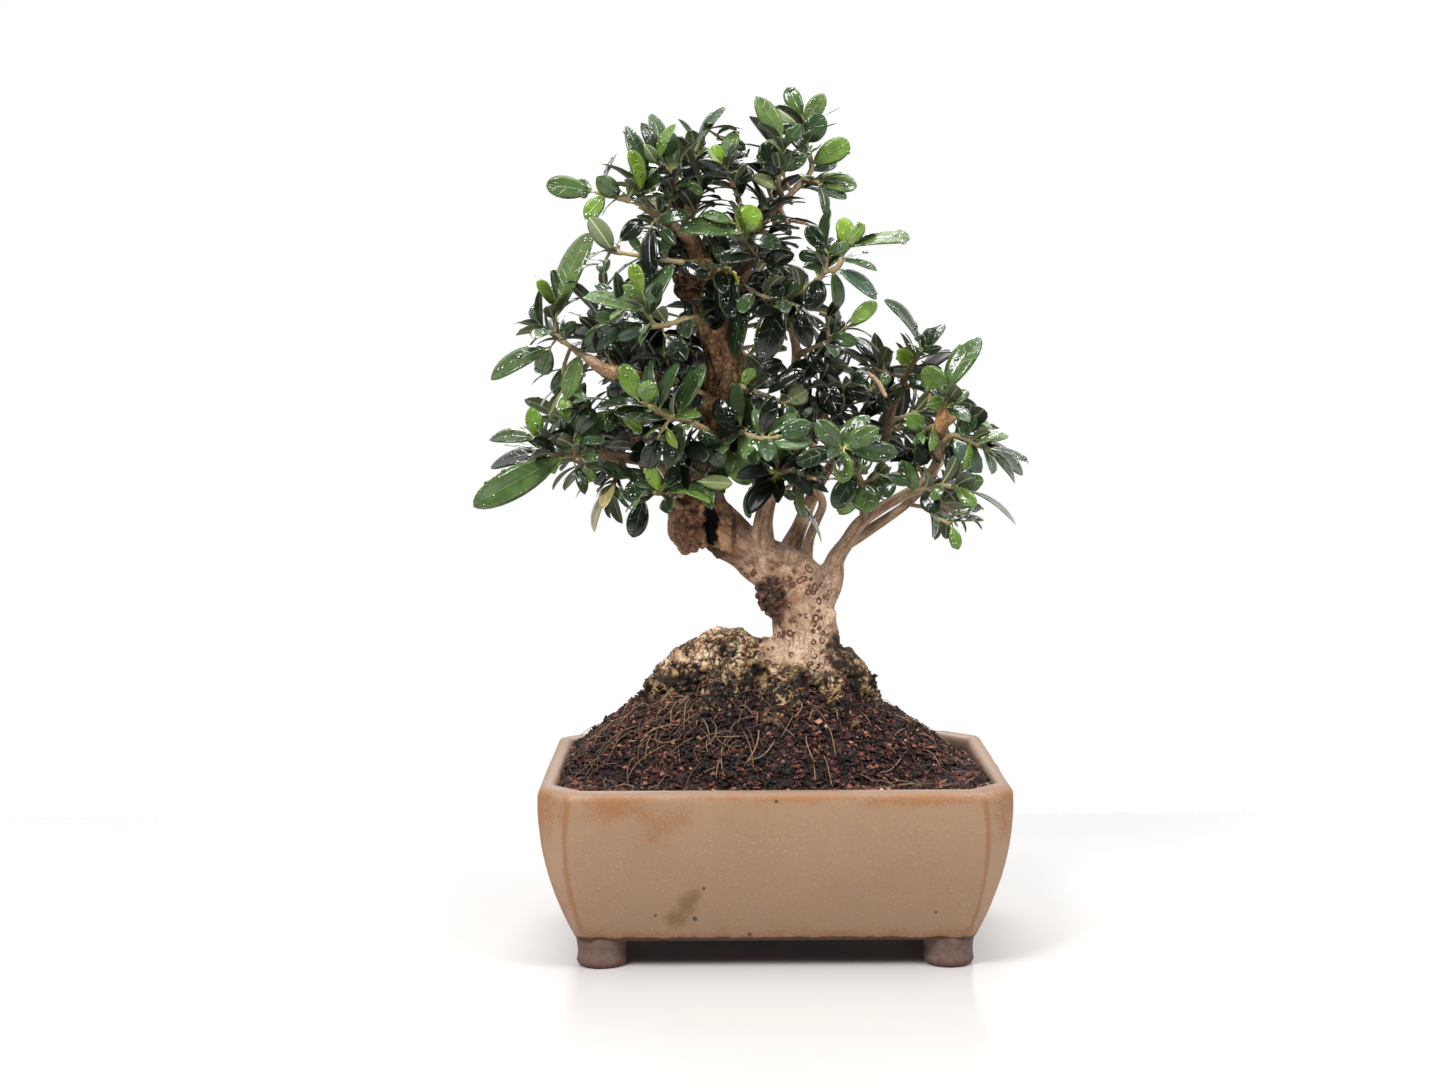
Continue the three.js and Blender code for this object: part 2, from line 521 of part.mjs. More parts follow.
// The largest body of a solid, without the scraps that a cut leaves
function largest(whole) {
  const bodies = whole.decompose();
  return bodies.reduce((best, body) => (body.volume() > best.volume() ? body : best));
}

// A skin over rings of equal count, closed at both ends by a fan
function skin(rings) {
  const count = rings[0].length;
  const points = rings.flat();
  const faces = [];
  for (let ring = 0; ring + 1 < rings.length; ring++) {
    for (let side = 0; side < count; side++) {
      const next = (side + 1) % count;
      const a = ring * count + side;
      const b = ring * count + next;
      faces.push(a, b, b + count, a, b + count, a + count);
    }
  }
  const last = (rings.length - 1) * count;
  for (let side = 1; side + 1 < count; side++) {
    faces.push(0, side + 1, side);
    faces.push(last, last + side, last + side + 1);
  }
  return new THREE.BufferGeometry().setFromPoints(points).setIndex(faces);
}

// A tapered limb through a row of places. grow thickens it all round.
function limb(row, { sides, gnarl = 0, grow = 0 }) {
  const path = new THREE.CatmullRomCurve3(row.map(place), false, "centripetal");
  const last = row.length - 1;
  const rings = [];
  let across = new THREE.Vector3(0.3, 1, 0.2);
  for (let step = 0; step <= last; step++) {
    const along = path.getTangent(step / last).normalize();
    across = across.clone().addScaledVector(along, -across.dot(along)).normalize();
    const over = new THREE.Vector3().crossVectors(along, across);
    const out = step === 0 ? -grow : step === last ? grow : 0;
    const middle = path.getPoint(step / last).addScaledVector(along, out);
    const ring = [];
    for (let side = 0; side < sides; side++) {
      const turn = (side / sides) * 2 * Math.PI;
      const lump = 1 + gnarl * (Math.sin(3 * turn + 1.7 * step) + 0.7 * Math.sin(2 * turn - 0.9 * step));
      const reach = row[step][3] * lump + grow;
      ring.push(middle.clone()
        .addScaledVector(across, reach * Math.cos(turn))
        .addScaledVector(over, reach * Math.sin(turn)));
    }
    rings.push(ring);
  }
  return solid(skin(rings));
}

// The pot's plan at one height: a rectangle with cut and softened corners
function plan(height, halfX, halfY, cut) {
  const s = EDGE_SOFTENING;
  const slant = s * Math.SQRT1_2;
  const quarter = [
    [halfX, halfY - cut - s], [halfX - slant, halfY - cut + slant],
    [halfX - cut + slant, halfY - slant], [halfX - cut - s, halfY],
  ];
  const corner = (flipX, flipY) => {
    const points = quarter.map(([x, y]) => new THREE.Vector3(x * flipX, y * flipY, height));
    return flipX * flipY > 0 ? points : points.reverse();
  };
  return [...corner(1, 1), ...corner(-1, 1), ...corner(-1, -1), ...corner(1, -1)];
}

// How far the pot's side stands in from its widest ring at a height
function drawIn(height) {
  const down = Math.max(0, (POT_WIDEST - height) / (POT_WIDEST - POT_UNDERSIDE));
  return POT_DRAW_IN * down ** POT_CURVE;
}

function potRing(height, inset) {
  const share = Math.min(1, (height - POT_UNDERSIDE) / (POT_WIDEST - POT_UNDERSIDE));
  const cut = CORNER_CUT_BOTTOM + (CORNER_CUT_TOP - CORNER_CUT_BOTTOM) * share;
  return plan(height, POT_LENGTH / 2 - inset, POT_WIDTH / 2 - inset, cut);
}

function makePot() {
  const sides = SIDE_HEIGHTS.map((height) => potRing(height, drawIn(height)));
  const rim = RIM_SECTION.map(([height, inset]) => potRing(height, inset));
  const inside = [MOUTH_HEIGHT, WALL_BEND].map((height) => potRing(height, drawIn(height) + POT_WALL));
  const floor = potRing(POT_FLOOR, drawIn(POT_FLOOR) + POT_WALL + FLOOR_FILLET);
  const body = solid(skin([...sides, ...rim, ...inside, floor]));
  const profile = FOOT_SECTION.map(([radius, height]) => new THREE.Vector2(radius, height));
  const foot = new THREE.LatheGeometry(profile, FOOT_SIDES).rotateX(Math.PI / 2);
  const feet = [[1, 1], [-1, 1], [-1, -1], [1, -1]].map(([x, y]) =>
    solid(foot.clone().translate(FOOT_AT[0] * x, FOOT_AT[1] * y, 0)));
  const bore = new THREE.CylinderGeometry(DRAIN_RADIUS, DRAIN_RADIUS, 2 * POT_FLOOR, 16).rotateX(Math.PI / 2);
  const drains = [-DRAIN_AT, DRAIN_AT].map((x) => solid(bore.clone().translate(x, 0, POT_FLOOR)));
  return joined([body, ...feet]).subtract(joined(drains));
}

// A square plastic mesh over the drain hole at x
function makeScreen(x) {
  const square = (side, across, over, order) => order.map(([a, b]) =>
    new THREE.Vector2(across + (a * side) / 2, over + (b * side) / 2));
  const sheet = new THREE.Shape(square(SCREEN_SIZE, 0, 0, [[-1, -1], [1, -1], [1, 1], [-1, 1]]));
  for (let row = -1; row <= 1; row++) {
    for (let column = -1; column <= 1; column++) {
      const across = row * SCREEN_PITCH + column * SCREEN_SLANT;
      const over = column * SCREEN_PITCH + row * SCREEN_SLANT;
      const hole = square(SCREEN_HOLE, across, over, [[-1, -1], [-1, 1], [1, 1], [1, -1]]);
      sheet.holes.push(new THREE.Path(hole));
    }
  }
  const mesh = new THREE.ExtrudeGeometry(sheet, { depth: SCREEN_THICK, bevelEnabled: false });
  return solid(mesh.translate(x, 0, POT_FLOOR + CLEAR));
}

// Height of the soil at a place in the pot
function soilHeight(x, y) {
  const away = ((x - MOUND_AT) / MOUND_HALF[0]) ** 2 + (y / MOUND_HALF[1]) ** 2;
  const rise = MOUND_RISE * Math.max(0, 1 - away) ** MOUND_POWER;
  const mouthX = POT_LENGTH / 2 - POT_WALL;
  const mouthY = POT_WIDTH / 2 - POT_WALL;
  const corner = Math.max(0, x / mouthX) * Math.max(0, y / mouthY);
  return SOIL_EDGE + rise - CORNER_SETTLE * corner;
}

// The soil fills the pot and leaves room for the wood and the screens
function makeSoil(woodRoom) {
  const bottom = potRing(POT_FLOOR + CLEAR, drawIn(POT_FLOOR) + POT_WALL + FLOOR_FILLET + CLEAR);
  const bend = potRing(WALL_BEND, drawIn(WALL_BEND) + POT_WALL + CLEAR);
  const edge = potRing(SOIL_EDGE - SOIL_ROUNDING, POT_WALL + CLEAR);
  const top = SOIL_RINGS.map((share) => edge.map((point) => {
    const x = point.x * share;
    const y = point.y * share;
    return new THREE.Vector3(x, y, soilHeight(x, y));
  }));
  const wide = SCREEN_SIZE + 2 * CLEAR;
  const room = new THREE.BoxGeometry(wide, wide, 2 * (SCREEN_THICK + 2 * CLEAR));
  const screens = [-DRAIN_AT, DRAIN_AT].map((x) => solid(room.clone().translate(x, 0, POT_FLOOR)));
  return solid(skin([bottom, bend, edge, ...top])).subtract(joined([woodRoom, ...screens]));
}

// All the wood in one solid. grow gives the room that its neighbours leave round it.
function makeWood(grow) {
  const whole = joined([
    limb(TRUNK, { ...TRUNK_SKIN, grow }),
    ...ROOTS.map((row) => limb(row, { ...ROOT_SKIN, grow })),
    ...BURRS.map((row) => limb(row, { ...BURR_SKIN, grow })),
    ...Object.values(LIMBS).map((row) => limb(row, { ...LIMB_SKIN, grow })),
  ]);
  const half = HOLLOW_HALF.map((value) => value - grow);
  const hollow = new THREE.SphereGeometry(1, 10, 8).scale(...half);
  return whole.subtract(solid(hollow.translate(...place(HOLLOW_AT).toArray())));
}

// A twig's row of places with its start drawn out along the first span until it clears the wood
function seated(row, room) {
  const [from, to] = row;
  for (let share = 0; share < 0.9; share += SEAT_STEP) {
    const start = from.map((value, axis) => value + (to[axis] - value) * share);
    const rest = [start, ...row.slice(1)];
    if (!touches(boxed(limb(rest.slice(0, 2), TWIG_SKIN)), room)) return rest;
  }
  return row;
}

// The nearest place on a spray's twigs to a spot as the eye sees it, past what sits in the wood
function nearest(twigs, across, height) {
  let best = null;
  for (const twig of twigs) {
    for (let span = 0; span + 1 < twig.length; span++) {
      const [a, b] = [twig[span], twig[span + 1]];
      const run = [b[0] - a[0], b[1] - a[1]];
      const square = run[0] ** 2 + run[1] ** 2 || 1;
      const part = ((across - a[0]) * run[0] + (height - a[1]) * run[1]) / square;
      const share = Math.min(1, Math.max(span ? 0 : SEATED_SHARE, part));
      const spot = a.map((value, axis) => value + (b[axis] - value) * share);
      const gap = Math.hypot(across - spot[0], height - spot[1]);
      if (!best || gap < best.gap) best = { spot, gap };
    }
  }
  return best;
}

// A leaf between two points, turned about its midrib so that it looks as wide as given
function leafBetween(base, tip, width, facing) {
  const along = tip.clone().sub(base);
  const length = along.length();
  along.normalize();
  const normal = facing.clone().addScaledVector(along, -facing.dot(along)).normalize();
  const full = Math.max(width, Math.min(LEAF_SLIM * length, LEAF_WIDEST));
  const roll = Math.acos(Math.min(1, width / full));
  const turned = [roll, -roll].map((angle) => normal.clone().applyAxisAngle(along, angle));
  const up = turned[0].z >= turned[1].z ? turned[0] : turned[1];
  return { base, tip, width: full, normal: up, arch: ARCH * length };
}

// A leaf of the lists, at each lean that it may take to clear its neighbours, the first one best
function readLeaf(twigs, [baseX, baseZ, tipX, tipZ, width, lean]) {
  const { spot, gap } = nearest(twigs, baseX, baseZ);
  let start = spot.slice(0, 3);
  let twiglet = null;
  if (gap > PETIOLE_REACH) {
    start = [baseX, baseZ, spot[2] - 1];
    twiglet = [[...spot.slice(0, 3), TWIGLET_RADIUS], [...start, TWIGLET_RADIUS]];
  }
  const base = place(start);
  const facing = EYE.clone().sub(base).normalize();
  const tries = SHORTER.flatMap((share) => LEANS.map((more) => {
    const end = [
      start[0] + (tipX - start[0]) * share,
      start[1] + (tipZ - start[1]) * share,
      start[2] + (lean + more) * share,
    ];
    return leafBetween(base, place(end), width, facing);
  }));
  return { twiglet, tries };
}

// A leaf of the rule: it stands off a twig at an angle, its upper face to the light
function ruleLeaf(base, along, turn, spread, length) {
  const side = PAIR_AXIS.clone().cross(along).normalize();
  const light = base.clone().sub(CROWN_MIDDLE).normalize().multiplyScalar(TO_LIGHT).add(UP);
  const tries = SHORTER.flatMap((share) => TURNS.map((more) => {
    const out = side.clone().applyAxisAngle(along, turn + more);
    const heading = along.clone().multiplyScalar(Math.cos(spread)).addScaledVector(out, Math.sin(spread));
    const tip = base.clone().addScaledVector(heading, length * share);
    return leafBetween(base, tip, LEAF_SLIM * length, light);
  }));
  return { twiglet: null, tries };
}

// The rule's leaves along a row of points: pairs that face each other, each pair turned on the last
function leavesAlong(points, count, draw) {
  const reach = [0];
  for (let k = 1; k < points.length; k++) reach.push(reach[k - 1] + points[k].distanceTo(points[k - 1]));
  const total = reach[reach.length - 1];
  const leaves = [];
  for (let k = 0; k < count; k++) {
    const pair = Math.floor(k / 2) + 0.5 + 0.2 * draw();
    const far = total * (BARE_SHARE + ((1 - BARE_SHARE) * pair) / Math.ceil(count / 2));
    const span = Math.max(0, Math.min(points.length - 2, reach.findLastIndex((r) => r <= far)));
    const along = points[span + 1].clone().sub(points[span]).normalize();
    const base = points[span].clone().addScaledVector(along, Math.min(far, total) - reach[span]);
    const turn = Math.PI * (k % 2) + (Math.PI / 2) * Math.floor(k / 2) + 0.7 * (draw() - 0.5);
    const spread = RULE_SPREAD[0] + (RULE_SPREAD[1] - RULE_SPREAD[0]) * draw();
    const length = RULE_LEAF[0] + (RULE_LEAF[1] - RULE_LEAF[0]) * draw();
    leaves.push(ruleLeaf(base, along, turn, spread, length));
  }
  return leaves;
}

// A blade as a thin arched slab. grow widens and thickens it, from is where it starts along the leaf.
function blade(leaf, grow = 0, from = 0) {
  const along = leaf.tip.clone().sub(leaf.base);
  const length = along.length();
  along.normalize();
  const side = new THREE.Vector3().crossVectors(leaf.normal, along);
  const outline = length >= LONG_LEAF ? FULL_OUTLINE : SHORT_OUTLINE;
  const rows = outline.map(([share, wide]) => {
    const at = share === 0 ? from : share === 1 ? 1 + grow / length : share;
    const half = wide ? (wide * leaf.width) / 2 + grow : 0;
    const bow = 4 * leaf.arch * share * (1 - share);
    const middle = leaf.base.clone().addScaledVector(along, at * length).addScaledVector(leaf.normal, bow);
    const edge = (out) => middle.clone().addScaledVector(side, out);
    return half ? [edge(half), edge(-half)] : [middle];
  });
  const points = rows.flat();
  const flat = [];
  let first = 0;
  for (let row = 0; row + 1 < rows.length; row++) {
    const second = first + rows[row].length;
    if (rows[row].length === 1) flat.push([first, second, second + 1]);
    else if (rows[row + 1].length === 1) flat.push([first, second, first + 1]);
    else flat.push([first, second, second + 1], [first, second + 1, first + 1]);
    first = second;
  }
  const half = BLADE_THICK / 2 + grow;
  const upper = points.map((point) => point.clone().addScaledVector(leaf.normal, half));
  const lower = points.map((point) => point.clone().addScaledVector(leaf.normal, -half));
  const count = points.length;
  const faces = flat.flatMap(([a, b, c]) => [a, c, b, a + count, b + count, c + count]);
  const left = rows.map((row, k) => rows.slice(0, k).flat().length);
  const right = rows.map((row, k) => left[k] + row.length - 1);
  const loop = [...left, ...right.slice(1, -1).reverse()];
  loop.forEach((a, k) => {
    const b = loop[(k + 1) % loop.length];
    faces.push(a, b + count, a + count, a, b, b + count);
  });
  return solid(new THREE.BufferGeometry().setFromPoints([...upper, ...lower]).setIndex(faces));
}

// A solid with its box, so that most pairs are seen to be clear without cutting them
function boxed(body) {
  const { min, max } = body.boundingBox();
  return { body, box: new THREE.Box3(new THREE.Vector3(...min), new THREE.Vector3(...max)) };
}

function touches(a, b) {
  return a.box.intersectsBox(b.box) && a.body.intersect(b.body).volume() > 0;
}

// A listed spray with its leaves
function listedSpray([name, { twigs, leaves, fill = 0 }], index) {
  const draw = dice(LISTED_SEED * (index + 1));
  return {
    name,
    twigs,
    read: leaves.map((leaf) => readLeaf(twigs, leaf)),
    rule: leavesAlong(twigs[0].slice(1).map(place), fill, draw),
  };
}

// A shoot of the rule: it bends up along its length
function ruleSpray([name, { from, heading, length }], index) {
  const draw = dice(SHOOT_SEED * (index + 1));
  const start = place(from);
  const ahead = new THREE.Vector3(...heading).normalize();
  const points = SHOOT_PLACES.map((share) => start.clone()
    .addScaledVector(ahead, share * length)
    .addScaledVector(UP, SHOOT_RISE * length * share * share));
  const row = points.map((point, k) => [...asSeen(point), SHOOT_RADIUS * (1 - SHOOT_TAPER * k)]);
  return { name, twigs: [row], read: [], rule: leavesAlong(points, 2 * SHOOT_PAIRS, draw) };
}

// Leaf by leaf, the first lean or turn at which it clears the wood and every leaf and twig so far
function settle(sprays, kind, room) {
  for (const spray of sprays) {
    const others = sprays.filter((other) => other !== spray);
    const clears = (leaf) => {
      const whole = boxed(blade(leaf, CLEAR));
      const outer = boxed(blade(leaf, SAME_CLEAR, SAME_FROM));
      if (touches(outer, room)) return false;
      if (spray.blades.some((near) => touches(outer, near))) return false;
      return !others.some(({ stems, blades }) => [...stems, ...blades].some((near) => touches(whole, near)));
    };
    for (const { twiglet, tries } of spray[kind]) {
      const chosen = tries.find(clears);
      if (!chosen) continue;
      if (twiglet) spray.stems.push(boxed(limb(twiglet, TWIG_SKIN)));
      spray.blades.push(boxed(blade(chosen)));
    }
  }
}

// All the sprays: first the twigs, then the listed leaves, then those of the rule
function makeSprays(woodRoom) {
  const room = boxed(woodRoom);
  const sprays = [
    ...Object.entries(SPRAYS).map(listedSpray),
    ...Object.entries(RULE_SHOOTS).map(ruleSpray),
  ];
  for (const spray of sprays) {
    spray.stems = spray.twigs.map((twig) => boxed(limb(seated(twig, room), TWIG_SKIN)));
    spray.blades = [];
  }
  settle(sprays, "read", room);
  settle(sprays, "rule", room);
  return sprays;
}

function makeMesh(name, body, { color, roughness }) {
  const { vertProperties, triVerts } = body.getMesh();
  const geometry = new THREE.BufferGeometry();
  geometry.setAttribute("position", new THREE.BufferAttribute(new Float32Array(vertProperties), 3));
  geometry.setIndex(new THREE.BufferAttribute(new Uint32Array(triVerts), 1));
  geometry.computeVertexNormals();
  const mesh = new THREE.Mesh(geometry, new THREE.MeshStandardMaterial({ color, roughness, metalness: 0 }));
  mesh.name = name;
  return mesh;
}

const GLAZE = { color: "#a88b70", roughness: 0.35 };
const EARTH = { color: "#4a3028", roughness: 0.95 };
const BARK = { color: "#b79a80", roughness: 0.8 };
const PLASTIC = { color: "#20221f", roughness: 0.6 };
const LEAF = { color: "#2f5a2a", roughness: 0.3 };

const wood = makeWood(0);
const woodRoom = makeWood(CLEAR);

const tree = new THREE.Group();
tree.add(makeMesh("pot", makePot(), GLAZE));
tree.add(makeMesh("drainage_screen_left", makeScreen(-DRAIN_AT), PLASTIC));
tree.add(makeMesh("drainage_screen_right", makeScreen(DRAIN_AT), PLASTIC));
tree.add(makeMesh("soil", makeSoil(woodRoom), EARTH));
tree.add(makeMesh("wood", wood, BARK));
for (const { name, stems, blades } of makeSprays(woodRoom)) {
  const whole = joined([...stems, ...blades].map(({ body }) => body)).subtract(woodRoom);
  tree.add(makeMesh("spray_" + name, largest(whole), LEAF));
}

// The origin is under the middle of the whole, at the table
const bonsai = new THREE.Group();
bonsai.add(tree);
const box = new THREE.Box3().setFromObject(tree);
const middle = box.getCenter(new THREE.Vector3());
tree.position.set(-middle.x, -middle.y, -box.min.z);

export default bonsai;
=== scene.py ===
# %% [markdown]
# # A dwarf olive bonsai in a glazed pot
# The real thing is a stoneware pot, a mound of damp soil, one grown piece of wood and several hundred
# leaves on thin shoots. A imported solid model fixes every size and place. This lesson dresses that model.
# Each step says what a piece is, how it could be made, and why it is made the way it is here.

import functools
import json
import math

import bpy
import numpy as np
from mathutils.kdtree import KDTree
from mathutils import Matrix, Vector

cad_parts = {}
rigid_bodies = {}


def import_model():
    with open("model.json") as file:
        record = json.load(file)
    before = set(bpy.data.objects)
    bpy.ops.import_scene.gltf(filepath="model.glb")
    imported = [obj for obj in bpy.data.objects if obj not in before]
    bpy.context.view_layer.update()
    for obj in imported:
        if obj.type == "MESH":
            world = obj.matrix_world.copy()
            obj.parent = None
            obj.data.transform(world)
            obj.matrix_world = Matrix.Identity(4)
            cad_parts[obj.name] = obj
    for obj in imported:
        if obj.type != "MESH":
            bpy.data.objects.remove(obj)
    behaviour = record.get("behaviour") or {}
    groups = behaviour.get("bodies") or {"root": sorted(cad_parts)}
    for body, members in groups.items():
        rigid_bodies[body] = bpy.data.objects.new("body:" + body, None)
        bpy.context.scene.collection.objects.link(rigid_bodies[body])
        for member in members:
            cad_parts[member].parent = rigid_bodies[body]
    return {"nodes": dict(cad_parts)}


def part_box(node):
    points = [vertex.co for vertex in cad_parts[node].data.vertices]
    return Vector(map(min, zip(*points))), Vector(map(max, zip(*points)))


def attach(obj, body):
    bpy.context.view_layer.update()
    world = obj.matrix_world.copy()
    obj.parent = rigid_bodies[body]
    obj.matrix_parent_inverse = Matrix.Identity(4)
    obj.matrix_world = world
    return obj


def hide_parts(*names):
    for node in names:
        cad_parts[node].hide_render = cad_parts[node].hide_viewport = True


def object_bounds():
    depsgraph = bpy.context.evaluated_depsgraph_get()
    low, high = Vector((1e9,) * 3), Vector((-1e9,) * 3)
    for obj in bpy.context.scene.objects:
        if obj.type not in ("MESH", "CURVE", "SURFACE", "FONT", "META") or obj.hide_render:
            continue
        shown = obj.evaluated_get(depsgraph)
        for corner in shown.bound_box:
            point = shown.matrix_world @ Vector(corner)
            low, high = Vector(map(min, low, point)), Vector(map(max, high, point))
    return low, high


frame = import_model()
cad_box = [list(corner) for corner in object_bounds()]
print("solid model:", len(frame["nodes"]), "nodes in the box", cad_box)

# %% [markdown]
# ## Millimetres round the pot's middle
# A potter thinks in millimetres, and Blender works in metres. So every size below is in millimetres from
# under the middle of the pot, and one function carries points over into the model's frame.

# %% The pot's middle
MM = 0.001
pot_low, pot_high = (np.array(corner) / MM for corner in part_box("pot"))
MIDDLE = np.array([(pot_low[0] + pot_high[0]) / 2, (pot_low[1] + pot_high[1]) / 2, 0.0])
print("the pot's middle in the frame, mm:", MIDDLE.round(3))


def in_frame(points):
    """Points in mm round the pot's middle, in metres in the model's frame."""
    return (np.asarray(points, float) + MIDDLE) * MM

# %% [markdown]
# ## A seeing eye for the places
# A tree is read from one side. Its limbs and leaves are noted as they look from an eye in front of it,
# across and up, and each gets a depth by judgement. A place is then carried along the line of sight to
# its depth. The solid model uses the same rule, so both agree to the last leaf.

# %% From what is seen to a point
EYE = np.array([-19.5, -869.0, 240.0])
UP = np.array([0.0, 0.0, 1.0])


def place(spot):
    """The point at [across, height, depth]."""
    reach = (spot[2] - EYE[1]) / -EYE[1]
    return np.array([EYE[0] + (spot[0] - EYE[0]) * reach, spot[2], EYE[2] + (spot[1] - EYE[2]) * reach])


def as_seen(point):
    """A point's [across, height, depth]."""
    reach = (point[1] - EYE[1]) / -EYE[1]
    return [EYE[0] + (point[0] - EYE[0]) / reach, EYE[2] + (point[2] - EYE[2]) / reach, point[1]]


def unit(vector):
    return vector / np.linalg.norm(vector)


def turned(vector, axis, angle):
    """The vector turned about an axis of length 1."""
    kept = axis * np.dot(axis, vector) * (1 - math.cos(angle))
    return vector * math.cos(angle) + np.cross(axis, vector) * math.sin(angle) + kept

# %% [markdown]
# ## The camera
# The photograph was taken from a little above the rim, almost square to the pot's long side. A long lens
# keeps the pot's sides from fanning out. The camera stands where the eye of the tree's places stands.

# %% Camera


def linked(name, data):
    """A new object in the scene."""
    made = bpy.data.objects.new(name, data)
    bpy.context.scene.collection.objects.link(made)
    return made


def mesh_object(name, places, faces):
    """A new object whose mesh has its points at places in metres."""
    mesh = bpy.data.meshes.new(name)
    mesh.from_pydata(places.tolist(), [], faces)
    return linked(name, mesh)


CAMERA_LENS = 54.06
CAMERA_DOWN = math.radians(5.28)
CAMERA_ROLL = math.radians(0.25)
camera = linked("camera", bpy.data.cameras.new("camera"))
camera.data.lens = CAMERA_LENS
camera.location = in_frame(EYE)
camera.rotation_euler = (math.pi / 2 - CAMERA_DOWN, CAMERA_ROLL, 0)
bpy.context.scene.camera = camera
print("camera at", [round(value, 4) for value in camera.location])

# %% [markdown]
# ## Colours and nodes
# A maker names a colour by its hex code, and Blender's shaders want linear light, so one function turns
# the one into the other. Another adds a node to a shader, sets it up and links it, so each material below
# reads from top to bottom. Inputs go by name or are counted from 0. In a Map Range node 1 and 2 are the
# range it reads and 3 and 4 what it gives. In a Mix node 0 is the share, and 6 and 7 are the two colours.

# %% Colour and node helpers


def linear(code):
    """An sRGB hex code as linear red, green, blue and alpha."""
    parts = [int(code[k : k + 2], 16) / 255 for k in (1, 3, 5)]
    return tuple(c / 12.92 if c <= 0.04045 else ((c + 0.055) / 1.055) ** 2.4 for c in parts) + (1.0,)


def add(owner, kind, inputs=None, output=0, **settings):
    """Adds a node and gives one of its outputs. An input is a value, a hex colour or another output."""
    made = owner.node_tree.nodes.new("ShaderNode" + kind)
    for name, value in settings.items():
        setattr(made, name, value)
    for socket, value in (inputs or {}).items():
        if isinstance(value, bpy.types.NodeSocket):
            owner.node_tree.links.new(value, made.inputs[socket])
        else:
            made.inputs[socket].default_value = linear(value) if isinstance(value, str) else value
    return made.outputs[output] if len(made.outputs) else made


IN_COLOUR = {"output": 2, "data_type": "RGBA"}
SHADED = {**IN_COLOUR, "blend_type": "MULTIPLY"}


def new_material(name):
    """An empty material, what adds a node to it, and its places in mm, for patterns of a real size."""
    material = bpy.data.materials.new(name)
    material.use_nodes = True
    material.node_tree.nodes.clear()
    node = functools.partial(add, material)
    metres = node("TexCoord", output="Object")
    scaled = {"Vector": metres, "Location": tuple(-MIDDLE), "Scale": (1 / MM, 1 / MM, 1 / MM)}
    return material, node, node("Mapping", scaled)

# %% [markdown]
# ## Random, but the same every time
# Bark, crumbs and leaves look right only when they are irregular. All of it is drawn from seeded dice, so
# the tree comes out the same each time. Relief in the mesh comes from lattice noise: a number for each
# cell of a grid, blended smoothly in between, in layers that halve in size.

# %% Dice and lattice noise


def dice(seed):
    """Numbers from 0 to 1, the same for the same seed."""
    state = seed
    while True:
        state = (state * 1664525 + 1013904223) % 4294967296
        yield state / 4294967296


def lattice(cell, seed):
    """A number from -1 to 1 for each cell of a grid."""
    mixed = cell[..., 0] * 73856093 ^ cell[..., 1] * 19349663 ^ cell[..., 2] * 83492791 ^ seed * 2654435
    mixed = (mixed ^ (mixed >> 15)) * 224682251
    mixed = (mixed ^ (mixed >> 13)) * 326648991
    return ((mixed >> 11) & 65535) / 32767.5 - 1


def rough(points, size, seed=0, layers=1):
    """Smooth random heights at points: bumps of size mm, each further layer half as big and high."""
    total = np.zeros(len(points))
    for layer in range(layers):
        scaled = np.asarray(points) / (size * 0.5**layer)
        cell = np.floor(scaled).astype(np.int64)
        part = scaled - cell
        part = part * part * (3 - 2 * part)
        for corner in np.ndindex(2, 2, 2):
            weight = np.prod(np.where(corner, part, 1 - part), axis=-1)
            total += 0.5**layer * weight * lattice(cell + np.array(corner), seed + 101 * layer)
    return total


def step_between(values, low, high):
    """0 below low, 1 above high, and a smooth rise in between."""
    part = np.clip((np.asarray(values, float) - low) / (high - low), 0, 1)
    return part * part * (3 - 2 * part)

# %% [markdown]
# ## Pieces
# Each piece of the object is one mesh. It rides on the model's only body, takes its finish from its own
# materials, and may stand for nodes of the solid model, which are then hidden. Numbers that the
# material needs, such as how old the bark is, are stored at the mesh's points.

# %% Making a piece


def add_piece(name, points, faces, materials, slot, replaces=(), which=None):
    """A smooth mesh piece from points in mm, kept inside the solid model's box. which picks materials."""
    piece = mesh_object(name, np.clip(in_frame(points), *cad_box), faces)
    mesh = piece.data
    for material in materials:
        mesh.materials.append(material)
    if which is not None:
        mesh.polygons.foreach_set("material_index", np.asarray(which, np.int32))
    mesh.polygons.foreach_set("use_smooth", np.ones(len(mesh.polygons), bool))
    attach(piece, "root")
    if replaces:
        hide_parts(*replaces)
    print(name + ":", len(mesh.polygons), "faces")
    return piece


def paint(piece, name, values):
    """Stores a number or a colour at each point, for the material to read."""
    values = np.asarray(values, np.float32)
    single = values.ndim == 1
    layer = piece.data.attributes.new(name, "FLOAT" if single else "FLOAT_COLOR", "POINT")
    if not single and values.shape[1] == 3:
        values = np.hstack([values, np.ones((len(values), 1), np.float32)])
    layer.data.foreach_set("value" if single else "color", values.ravel())


def colours(codes, picks):
    """The linear colour of each pick from a list of hex codes."""
    return np.array([linear(code) for code in codes])[np.asarray(picks, int)]


def crease(piece, angle):
    """Keeps edges sharper than an angle in degrees crisp on a smooth piece."""
    piece.data.set_sharp_from_angle(angle=math.radians(angle))

# %% [markdown]
# ## Limbs as swept tubes
# A branch is a tube that tapers, bends through a few places and swells at its knots. A curve object with
# a bevel could be swept, but bark needs to know how far along and round the limb it lies. So the tube is
# built in code: a smooth curve through the places, and rings of points carried along it without a twist.

# %% Curve and tube
FIRST_ACROSS = np.array([0.3, 1.0, 0.2])


